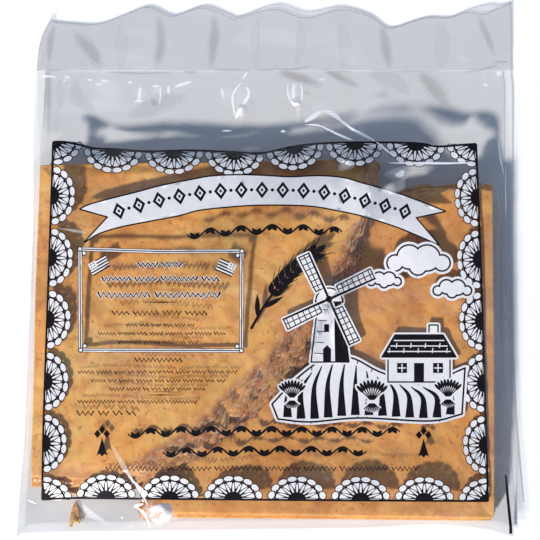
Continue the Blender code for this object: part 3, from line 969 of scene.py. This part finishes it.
def mill():
    """A tower mill with four latticed sails."""
    x, y = MILL_FOOT
    hub = np.array(MILL_HUB, dtype=float)
    tower = ((x - 19, y), (x - 12, hub[1] + 2), (x + 11, hub[1] + 2), (x + 19, y))
    cap = [(hub[0] + 13.5 * cos(t), hub[1] + 3 - 14 * sin(t)) for t in np.linspace(0.0, pi, 14)]
    shapes = haloed(tower) + haloed(cap)
    shapes += black(np.array([(x + 5, y), (x + 4, hub[1] + 3), (x + 11, hub[1] + 3), (x + 19, y)]))
    for row in range(5):
        left = x - 16 + 1.2 * row
        height = y - 9 - 11 * row
        shapes += black(*stroke([(left, height), (left + 9, height + 0.8)], 0.9))
    shapes += black(np.array([(x - 7, y), (x - 7, y - 13), (x - 3, y - 17), (x + 1, y - 13),
                                        (x + 1, y)]))
    shapes += black(np.array([(x - 6, y - 38), (x - 6, y - 30), (x - 1, y - 30), (x - 1, y - 38)]))
    for quarter in range(4):
        shapes += sail(hub, radians(24 + 90 * quarter))
    return shapes + black(ellipse(hub, at_angle(0.0), 3.4, 3.4))


def sail(hub, angle):
    along = at_angle(angle)
    across = at_angle(angle + pi / 2)

    def at(r, w):
        return hub + along * r + across * w

    cloth = [at(12, 0), at(50, 0), at(50, 11), at(12, 9)]
    shapes = haloed(cloth, 1.3, 4.6) + white(*stroke([at(0, 0), at(12, 0)], 5.0))
    shapes += black(*stroke([at(0, 0), at(51, 0)], (2.6, 1.8)))
    for r in range(17, 50, 6):
        shapes += black(*stroke([at(r, 0), at(r, 10.5)], 1.0))
    return shapes + black(*stroke([at(12, 5), at(50, 5.5)], 1.0))


def hill():
    """A field whose furrows fan out below the skyline."""
    skyline = curve_at(HILL, even(40))
    foot = curve_at(HILL_FOOT, even(24))
    shapes = haloed(np.vstack([skyline, foot]), 1.8, 6.0)
    for k in range(13):
        share = (k + 0.7) / 13.6
        top = curve_at(HILL, (0.16 + 0.74 * share,))[0] + (0.0, 6.0)
        low = curve_at(HILL_FOOT, (1 - share,))[0] - (0.0, 3.0)
        bend = (top + low) / 2 + ((share - 0.45) * 16, -5.0)
        furrow = curve_at((top, bend, low), even(14))
        shapes += black(*stroke(furrow, np.linspace(1.0, 9.0, 14)))
    for k in range(12):
        spot = curve_at(HILL, (0.1 + 0.075 * k,))[0] + (0.0, 4.0)
        shapes += black(*stroke([spot, spot + (0.8, -4.6)], (1.2, 0.6)))
    return shapes


def box(x0, y0, x1, y1):
    return np.array([(x0, y0), (x1, y0), (x1, y1), (x0, y1)], dtype=float)


def cottage():
    """A cottage with rows of tiles, a door and two windows."""
    x, y = COTTAGE
    wall = box(x, y - 27, x + 62, y)
    roof = ((x - 6, y - 25), (x + 7, y - 47), (x + 55, y - 47), (x + 68, y - 25))
    chimney = box(x + 41, y - 57, x + 50, y - 44)
    shapes = haloed(chimney) + haloed(wall) + haloed(roof)
    shapes += black(np.array(roof, dtype=float))
    for row in range(1, 4):
        inset = 13 * row / 4
        height = y - 25 - 22 * row / 4
        shapes += white(*stroke([(x - 4 + inset, height), (x + 66 - inset, height)], 1.1))
    for k in range(9):
        left = x + 1 + 7.2 * k
        shapes += white(*stroke([(left, y - 29 - 5 * (k % 2)), (left + 0.6, y - 34 - 5 * (k % 2))], 0.9))
    shapes += black(box(x + 26, y - 19, x + 36, y))
    for left in (x + 9, x + 45):
        shapes += black(box(left, y - 19, left + 10, y - 9))
        shapes += white(box(left + 4.4, y - 18, left + 5.6, y - 10),
                        box(left + 1, y - 14.6, left + 9, y - 13.4))
    return shapes


def cloud(x, y, size):
    """Puffs in a white form with a black line inside its edge."""
    puffs = ((-23, 1, 9), (-9, -5, 13), (9, -4, 14), (24, 1, 9), (0, 4, 10))
    shapes = []
    for ink, grow in (("white", 2.4), ("black", 0.0), ("white", -1.7)):
        shapes += inked(ink, [disc((x + dx * size, y + dy * size), r * size + grow, 24)
                              for dx, dy, r in puffs])
    return shapes


def sheaf(x, y, size):
    """A tied sheaf: ears over stalks."""
    shapes = []
    spread = [radians(90 + 11 * k) for k in range(-4, 5)]
    tie = np.array([x, y - 9 * size])
    for ink, grow in (("white", 3.2), ("black", 0.0)):
        for angle in spread:
            shapes += inked(ink, stroke([tie, tie + at_angle(angle) * 12 * size], 1.2 + grow))
            shapes += inked(ink, [ellipse(tie + at_angle(angle) * 15 * size, at_angle(angle),
                                          (4.4 + grow / 2) * size, (1.5 + grow / 2) * size, 10)])
            shapes += inked(ink, stroke([tie, tie - at_angle(angle) * (10 * size, 9 * size)], 1.2 + grow))
    return shapes + white(box(x - 5 * size, y - 10.4 * size, x + 5 * size, y - 7.6 * size))


def picture():
    """A plain country scene: clouds, a mill and a cottage on a ploughed hill, and sheaves."""
    shapes = []
    for place in CLOUDS:
        shapes += cloud(*place)
    shapes += hill() + mill() + cottage()
    for place in ((292, 408, 1.0), (372, 412, 1.15), (448, 407, 1.0)):
        shapes += sheaf(*place)
    return shapes


def all_print():
    """The whole print: (ink, outline) pairs, each laid over those before it."""
    shapes = lace() + ribbon() + panel() + small_print() + wheat_ear() + picture()
    for path in VINES:
        shapes += vine(path)
    for centre in ERMINES:
        shapes += ermine(centre)
    return shapes + black(np.array(GAUGE_MARK))


def tapered(points, width):
    """A line that is widest in its middle."""
    line = curve_at(points, even(12)) if len(points) > 2 else np.linspace(*points, 12)
    return stroke(line, width * (0.25 + 0.75 * np.sin(np.linspace(0.0, pi, 12)) ** 0.7))


def blot(place, along, across, turn):
    """An ellipse with a wavering outline."""
    count = 18
    wobble = 1 + 0.14 * np.sin(np.arange(count) * 2 * pi / 6 + place[0])
    outline = ellipse((0.0, 0.0), at_angle(radians(turn)), along, across, count)
    return outline * wobble[:, None] + np.array(place)


def glints():
    """Painted highlights: bright glints and glare where the film is creased."""
    shapes = []
    for width, *points in GLINTS:
        shapes += tapered(points, width)
    return inked("mark", shapes + [blot(*place) for place in GLARES])


def soft_glares(level):
    """Painted glare, fainter, in nested levels that are smaller and smaller."""
    size = 1.2 - 0.42 * level
    return inked("mark", [blot(place, along * size, across * size, turn)
                          for place, along, across, turn in SOFT_GLARES])


def soft_band(points, width, fade):
    """A tapered line, cut back at both ends by a share of its length."""
    share = np.linspace(fade, 1.0 - fade, 20)
    if len(points) > 2:
        line = curve_at(points, share)
    else:
        line = np.array(points[0]) + share[:, None] * np.diff(points, axis=0)
    return stroke(line, width * np.sin(pi * np.linspace(0.04, 0.96, 20)) ** 0.6)


def shades(level):
    """Painted shade: soft darker bands where the film is folded or the piles' shadow falls, and a darker line
    along the weld, in nested levels that are narrower and shorter.
    """
    shapes = []
    for width, levels, *points in SHADES:
        if level < levels:
            shapes += soft_band(points, width * (1.15 - 0.8 * level / SHADE_LEVELS), 0.06 * level)
    for points in WELD_MARKS:
        shapes += tapered(points, 3.4 - 0.8 * level)
    return inked("mark", shapes)


def signed_area(outline):
    x, y = outline[:, 0], outline[:, 1]
    return np.sum(x * np.roll(y, -1) - np.roll(x, -1) * y) / 2


def split_print(shapes):
    """Triangles of the print, which is a single layer: each in the ink that was laid last there."""
    points = []
    faces = []
    for _, outline in shapes:
        if signed_area(outline) < 0:
            outline = outline[::-1]
        faces.append(list(range(len(points), len(points) + len(outline))))
        points += [Vector(p) for p in outline]
    low = np.min(points, axis=0)
    high = np.max(points, axis=0)
    for x in np.arange(low[0], high[0], PRINT_STEP):
        for y in np.arange(low[1], high[1], PRINT_STEP):
            points.append(Vector((x + 0.011, y + 0.007)))
    places, _, triangles, _, _, owners = delaunay_2d_cdt(points, [], faces, 1, 1e-5)
    layers = {ink: [] for ink, _ in shapes}
    for triangle, owner in zip(triangles, owners):
        if owner:
            layers[shapes[max(owner)][0]].append(triangle[::-1])
    return places, layers


def lay_print(films, shapes, lift, finishes):
    """Flat shapes laid on the films: a piece for each ink, of the given name and material; the slot given
    with them is not used.
    """
    tree = tree_of(films)
    places, layers = split_print(shapes)
    eye = camera_place()
    spots = []
    for place in places:
        spot, normal, _, _ = tree.ray_cast(eye, sight_line(place))
        spots.append(spot + normal * lift if spot else None)
    for ink, (name, material, slot) in finishes.items():
        triangles = [t for t in layers[ink] if all(spots[i] for i in t)]
        used = sorted({i for t in triangles for i in t})
        index = {i: k for k, i in enumerate(used)}
        item = sheet_object(name, [spots[i] for i in used], [[index[i] for i in t] for t in triangles])
        item.visible_shadow = ink != "mark"
        piece(item, material)


def lay_marks(films, shapes, layer, name, material):
    lay_print(films, shapes, layer * PRINT_LIFT, {"mark": (name, material, "clear_film")})


def noise_line(rng, count, knots, size):
    """A random line, straight between its knots."""
    values = rng.normal(0.0, size, knots)
    return np.interp(np.linspace(0, knots - 1, count), np.arange(knots), values)


def fan_rows(count):
    """Shares of a fan's radius, closer together near its rim."""
    return np.concatenate([np.linspace(0.0, RIM_FROM, count - RIM_ROWS, endpoint=False),
                           np.linspace(RIM_FROM, 1.0, RIM_ROWS)])


def fan_plan(corner, turn, way, spread, radius, setback, rng, rows):
    """Plan of one folded crepe: rows from its corner to its arc, columns from edge to edge."""
    share = even(FAN_COLUMNS)
    middle = np.sin(pi * share) ** 2
    rim = radius - setback * (0.3 + 0.7 * middle)
    if way > 0:
        rim = rim - END_SHORT * bell((1 - share) / END_REACH)
    for knots, size in RIM_WANDER:
        rim = rim + noise_line(rng, FAN_COLUMNS, knots, size)
    angle = turn - share * spread
    r = fan_rows(rows)[:, None] * rim[None, :]
    x = corner[0] + way * r * np.cos(angle)[None, :]
    y = corner[1] + way * r * np.sin(angle)[None, :]
    toasted = clip_step((r - rim[None, :]) / RIM_REACH + 1)
    return np.stack([x, y], axis=-1), toasted * (1 - bell((1 - share) / (1.5 * END_REACH)))


def outline_of(grid):
    """The rim of a fan's grid, in order: out along one edge, round the arc and back."""
    return np.concatenate([grid[:, 0], grid[-1, 1:], grid[-2:0:-1, -1]])


def outward(loop, middle):
    """Directions away from the middle, square to a closed outline."""
    ahead = np.roll(loop, -1, axis=0) - np.roll(loop, 1, axis=0)
    out = np.stack([ahead[:, 1], -ahead[:, 0]], axis=1)
    out /= np.linalg.norm(out, axis=1)[:, None]
    return -out if np.sum(out * (loop - middle)) < 0 else out


def crepe_mesh(bm, plan, low, high, toasted, floor, rng):
    """One folded crepe: its top sheet, the edges of its layers and, on the floor, its bottom sheet."""
    rows, columns = high.shape
    layer = bm.verts.layers.float["rim"]

    def place(x, y, z, tone):
        vert = bm.verts.new((x, y, z))
        vert[layer] = tone
        return vert

    def sheet(spots, z):
        centre = place(*spots[0, 0], z[0, 0], 0.0)
        verts = [[centre] * columns]
        for i in range(1, rows):
            verts.append([place(*spots[i, j], z[i, j], toasted[i, j]) for j in range(columns)])
        for i in range(rows - 1):
            for j in range(columns - 1):
                ring = [verts[i][j], verts[i + 1][j], verts[i + 1][j + 1], verts[i][j + 1]]
                bm.faces.new(ring[:3] if i == 0 else ring)
        left = [verts[i][0] for i in range(rows)]
        right = [verts[i][-1] for i in range(rows - 2, 0, -1)]
        return left + verts[-1][1:] + right

    last = sheet(plan, high)
    loop = outline_of(plan)
    out = outward(loop, plan.reshape(-1, 2).mean(axis=0))
    top_z = outline_of(high)
    low_z = outline_of(low)
    tones = outline_of(toasted)
    step = ARC_STAGGER / (CREPES_A_PILE - 1) / LAYERS_A_CREPE
    for k in range(LAYERS_A_CREPE):
        ragged = (k * step + np.abs(noise_line(rng, len(loop), RAGGED_KNOTS, ARC_RAGGED))) * tones
        for part in SHEET_ROUND:
            share = (k + part) / LAYERS_A_CREPE
            reach = FOLD_BULGE * sin(pi * part) ** 0.6 + ragged
            spots = loop + out * reach[:, None]
            z = top_z + (low_z - top_z) * share
            ring = [place(*spot, height, tone) for spot, height, tone in zip(spots, z, tones)]
            join(bm, last, ring)
            last = ring
    if floor:
        join(bm, last, sheet(plan, low))


def join(bm, first, second):
    count = len(first)
    for i in range(count):
        bm.faces.new((first[i], first[(i + 1) % count], second[(i + 1) % count], second[i]))


def rough_field(plan, length, seed):
    """Smooth random relief of about unit size, whose bumps are about a length apart."""
    rng = np.random.default_rng(seed)
    field = np.zeros(plan.shape[:-1])
    for _ in range(ROUGH_WAVES):
        way = rng.normal(size=2)
        way *= 2 * pi / (length * rng.uniform(0.7, 1.6)) / np.linalg.norm(way)
        field += np.sin(plan @ way + rng.uniform(0, 2 * pi))
    return field / ROUGH_SUM


def rim_mesh():
    """An empty mesh whose points each hold how near they are to a browned rim."""
    bm = bmesh.new()
    bm.verts.layers.float.new("rim")
    return bm


def make_pile(name, corner, turn, way, seed, material):
    """Six crepes folded in four, their corners together; way is 1 for the upper pile and -1 for the lower."""
    rng = np.random.default_rng(seed)
    thick = PILE_HEIGHT / CREPES_A_PILE
    bm = rim_mesh()
    for k in range(CREPES_A_PILE):
        top_one = k == CREPES_A_PILE - 1
        spot = np.array(corner) + [rng.uniform(-stray, stray) for stray in CORNER_STRAY]
        swing = turn + rng.uniform(-TURN_STRAY, TURN_STRAY)
        spread = radians(90) + rng.uniform(-SPREAD_STRAY, SPREAD_STRAY)
        radius = CREPE_RADIUS - rng.uniform(0.0, RADIUS_STRAY)
        setback = ARC_STAGGER * k / (CREPES_A_PILE - 1) + rng.normal(0.0, ARC_STRAY)
        rows = TOP_ROWS if top_one else UNDER_ROWS
        plan, toasted = fan_plan(spot, swing, way, spread, radius, setback, rng, rows)
        away = np.linalg.norm(plan - np.array(corner), axis=-1)
        squeeze = 1 - CORNER_DROOP * bell(away / CORNER_REACH)
        inner = np.maximum(inside_edges(plan, corner, turn, way), 0.0)
        squeeze = squeeze - EDGE_DROOP * bell(inner / EDGE_REACH)
        if way > 0:
            base = climb(plan)
        else:
            base = 0.0
            squeeze = squeeze - PRESSED * clip_step(inside_upper(plan) / PRESSED_REACH)
        wave = PILE_WAVE * rough_field(plan, PILE_WAVE_LENGTH, WAVE_SEED + k)
        low = base + (k * thick + GAP_BELOW) * squeeze + wave * (k > 0)
        high = base + ((k + 1) * thick - GAP_ABOVE) * squeeze + wave
        if top_one:
            for i, (height, length) in enumerate(TOP_GRAIN):
                high = high + height * rough_field(plan, length, seed + i)
        crepe_mesh(bm, plan, low, high, toasted, k == 0, rng)
    return crepe_piece(name, bm, material)


def make_scrap(material):
    """A torn scrap of crepe in the bag's empty corner."""
    rng = np.random.default_rng(SCRAP_SEED)
    bm = rim_mesh()
    turn = radians(-90) + SCRAP_SPREAD / 2
    corner = seen_place(SCRAP_CORNER, SCRAP_HEIGHT)
    plan, toasted = fan_plan(corner, turn, 1, SCRAP_SPREAD, SCRAP_RADIUS, 0.0, rng, SCRAP_ROWS)
    away = np.linalg.norm(plan - plan[0, 0], axis=-1)
    lift, slope, wave = SCRAP_LIFT
    low = lift + slope * away / SCRAP_RADIUS + wave * rough_field(plan, SCRAP_WAVE, SCRAP_SEED)
    crepe_mesh(bm, plan, low, low + SCRAP_THICK, np.zeros_like(toasted), True, rng)
    return crepe_piece("crepe_scrap", bm, material)


def crepe_piece(name, bm, material):
    bmesh.ops.recalc_face_normals(bm, faces=bm.faces)
    mesh = bpy.data.meshes.new(name)
    bm.to_mesh(mesh)
    bm.free()
    return piece(smooth_object(name, mesh), material)


class Nodes:
    """Short calls for the nodes of one material."""

    def __init__(self, material):
        self.tree = material.node_tree
        self.shader = self.tree.nodes["Principled BSDF"]
        self.place = self.tree.nodes.new("ShaderNodeTexCoord").outputs["Object"]

    def node(self, kind, output, settings, **inputs):
        node = self.tree.nodes.new(kind)
        for key, value in settings.items():
            setattr(node, key, value)
        for key, value in inputs.items():
            socket = node.inputs[int(key[1:])] if key[0] == "i" and key[1:].isdigit() else node.inputs[key]
            if isinstance(value, bpy.types.NodeSocket):
                self.tree.links.new(value, socket)
            else:
                socket.default_value = value
        return node.outputs[output]

    def noise(self, scale, detail=3.0, roughness=0.55, distortion=0.0, place=None):
        return self.node("ShaderNodeTexNoise", "Fac", {}, Vector=place or self.place, Scale=scale,
                         Detail=detail, Roughness=roughness, Distortion=distortion)

    def math(self, operation, first, second=0.0):
        """A math node, whose third value, 1, is what MULTIPLY_ADD adds."""
        return self.node("ShaderNodeMath", 0, {"operation": operation}, i0=first, i1=second, i2=1.0)

    def times(self, first, second):
        return self.math("MULTIPLY", first, second)

    def over(self, color, paint, where, share):
        """A paint laid over a colour, at most by a share, where a mask is bright."""
        return self.mix(self.times(where, share), color, (*paint, 1.0))

    def spread(self, value, low, high, to_low=0.0, to_high=1.0):
        return self.node("ShaderNodeMapRange", 0, {}, i0=value, i1=low, i2=high, i3=to_low, i4=to_high)

    def mix(self, share, first, second, blend="MIX"):
        settings = {"data_type": "RGBA", "blend_type": blend}
        return self.node("ShaderNodeMix", 2, settings, i0=share, i6=first, i7=second)

    def grey(self, value):
        return self.node("ShaderNodeCombineColor", 0, {}, Red=value, Green=value, Blue=value)

    def bump(self, height, distance, strength=1.0, normal=None):
        inputs = {"Height": height, "Distance": distance, "Strength": strength}
        if normal:
            inputs["Normal"] = normal
        return self.node("ShaderNodeBump", 0, {}, **inputs)

    def use(self, **sockets):
        for key, value in sockets.items():
            self.tree.links.new(value, self.shader.inputs[key.replace("_", " ")])


def crepe_material(name, browned):
    """Golden batter, blotched and freckled, with painted shade in thin wrinkle lines, darker and moist along
    the arcs of its rims, where pale specks are partly crumbs and partly painted glints.
    """
    material = principled(name, CREPE_GOLD, 0.62, Subsurface_Weight=0.32, Subsurface_Scale=0.0040)
    nodes = Nodes(material)
    nodes.shader.inputs["Subsurface Radius"].default_value = (1.0, 0.40, 0.16)
    blotch = nodes.spread(nodes.noise(38.0, 4.0, 0.6), 0.36, 0.66)
    color = nodes.mix(blotch, (*CREPE_PALE, 1.0), (*CREPE_GOLD, 1.0))
    color = nodes.mix(browned, color, (*CREPE_TAN, 1.0))
    mottle = nodes.spread(nodes.noise(150.0, 4.0, 0.62, 0.5), 0.44, 0.66)
    color = nodes.over(color, CREPE_TAN, mottle, 0.62)
    patch = nodes.spread(nodes.noise(27.0, 5.0, 0.62, 0.8), 0.53, 0.72)
    color = nodes.over(color, CREPE_BROWN, patch, 0.50)
    freckle = nodes.spread(nodes.noise(430.0, 2.0, 0.5, 0.2), 0.62, 0.70)
    color = nodes.over(color, CREPE_BROWN, freckle, 0.50)
    # thin darker lines: painted shade in fine wrinkles
    crossing = nodes.math("ABSOLUTE", nodes.math("SUBTRACT", nodes.noise(34.0, 2.0, 0.5, 1.6), 0.5))
    some = nodes.spread(nodes.noise(24.0, 1.0, 0.5), 0.50, 0.58)
    wrinkle_shade = nodes.times(nodes.spread(crossing, 0.004, 0.016, 1.0, 0.0), some)
    color = nodes.over(color, CREPE_BROWN, wrinkle_shade, 0.20)
    rim = nodes.node("ShaderNodeAttribute", "Fac", {"attribute_name": "rim"})
    ragged = nodes.times(rim, nodes.spread(nodes.noise(120.0, 4.0, 0.6), 0.30, 0.62, 0.25, 1.0))
    color = nodes.over(color, RIM_RED, ragged, 0.92)
    # pale specks: partly crumbs, partly painted glints where the film touches the crepe
    crumbs_and_glints = nodes.spread(nodes.noise(620.0, 2.0, 0.6), 0.52, 0.60)
    color = nodes.over(color, RIM_PALE, nodes.times(crumbs_and_glints, rim), 0.62)
    fine = nodes.bump(nodes.noise(520.0, 4.0, 0.65), 0.00022, 0.5)
    rough = nodes.bump(nodes.noise(150.0, 3.0, 0.55), 0.0006, 0.5, fine)
    gloss = nodes.spread(rim, 0.0, 1.0, 0.66, 0.45)
    nodes.use(Base_Color=color, Normal=rough, Roughness=gloss)
    return material


def film_material(name):
    """Clear film with fine ribs across it, whose faint haze comes and goes in streaks that are partly a
    painted reflection.
    """
    tint, glare_haze, roughness, alpha, scale = FILM_LOOKS[name]
    material = principled(name, tint, roughness, Alpha=alpha)
    nodes = Nodes(material)
    stretched = nodes.node("ShaderNodeMapping", 0, {}, Vector=nodes.place, Rotation=(0.0, 0.0, 0.7),
                           Scale=(1.0, 2.6, 1.0))
    # streaks of haze, partly a painted reflection
    streak = nodes.spread(nodes.noise(scale, 4.0, 0.6, 0.6, stretched), 0.52, 0.78)
    along = nodes.node("ShaderNodeSeparateXYZ", "Y", {}, Vector=nodes.place)
    # painted light and shade of the fine ribs
    rib = nodes.math("SINE", nodes.times(along, 2 * pi / RIB_PITCH))
    uneven = nodes.times(rib, nodes.spread(nodes.noise(60.0), 0.35, 0.65, 0.0, 1.0))
    rib_shading = nodes.math("MULTIPLY_ADD", uneven, RIB_SHADE_SHARE)
    color = nodes.mix(streak, (*tint, 1.0), (*glare_haze, 1.0))
    nodes.use(Base_Color=nodes.mix(1.0, color, nodes.grey(rib_shading), "MULTIPLY"))
    return material


def ink_material(name):
    """Printing ink, a little uneven in cover and gloss."""
    color, worn, roughness, gloss = INK_LOOKS[name]
    material = principled(name, color, roughness, Specular_IOR_Level=gloss)
    nodes = Nodes(material)
    cover = nodes.spread(nodes.noise(260.0, 3.0, 0.6), 0.35, 0.75)
    nodes.use(Base_Color=nodes.mix(cover, (*color, 1.0), (*worn, 1.0)),
              Roughness=nodes.spread(nodes.noise(90.0), 0.3, 0.7, roughness - 0.06, roughness + 0.08))
    return material


def make_stage():
    bpy.ops.mesh.primitive_plane_add(size=4.0, location=(0.0, 0.0, -0.0003))
    floor = bpy.context.active_object
    floor.name = "floor"
    floor.data.materials.append(principled("floor_white", (0.97, 0.97, 0.97), 0.9))


def make_lights():
    light = bpy.data.lights.new("key", "SUN")
    light.energy = SUN_STRENGTH
    light.color = SUN_COLOR
    light.angle = SUN_ANGLE
    key = bpy.data.objects.new("key", light)
    key.rotation_euler = Vector(SUN_WAY).to_track_quat("-Z", "Y").to_euler()
    bpy.context.scene.collection.objects.link(key)
    world = bpy.data.worlds.new("sky")
    world.use_nodes = True
    background = world.node_tree.nodes["Background"]
    background.inputs["Color"].default_value = (*SKY_COLOR, 1.0)
    background.inputs["Strength"].default_value = SKY_STRENGTH
    bpy.context.scene.world = world


def make_camera():
    data = bpy.data.cameras.new("camera")
    data.angle = CAMERA_VIEW
    camera = bpy.data.objects.new("camera", data)
    camera.location = camera_place()
    camera.rotation_euler = (CAMERA_TILT, 0.0, 0.0)
    bpy.context.scene.collection.objects.link(camera)
    bpy.context.scene.camera = camera
    bpy.context.scene.view_settings.view_transform = "Standard"


make_camera()
make_lights()
make_stage()
piles = [make_pile("crepes_lower", LOWER_CORNER, LOWER_TURN, -1, 11, crepe_material("crepe_browner", 0.30))]
crepe = crepe_material("crepe", 0.05)
piles.append(make_pile("crepes_upper", UPPER_CORNER, UPPER_TURN, 1, 7, crepe))
films = make_films(piles, make_scrap(crepe))
lay_print(films, all_print(), PRINT_LIFT, {"black": ("print_black", ink_material("black_ink"), "black_ink"),
                                           "white": ("print_white", ink_material("white_ink"), "white_ink")})
# film for the painted shade
shade = film_material("film_shade")
# film for the painted glare
glare_haze = film_material("film_soft_glare")
for level in range(SHADE_LEVELS):
    lay_marks(films, shades(level), FIRST_SHADE + level, f"film_shades_{level + 1}", shade)
for level in range(SOFT_GLARE_LEVELS):
    lay_marks(films, soft_glares(level), FIRST_SOFT_GLARE + level, f"film_soft_glares_{level + 1}", glare_haze)
lay_marks(films, glints(), GLINT_LAYER, "film_glints", film_material("film_glint"))
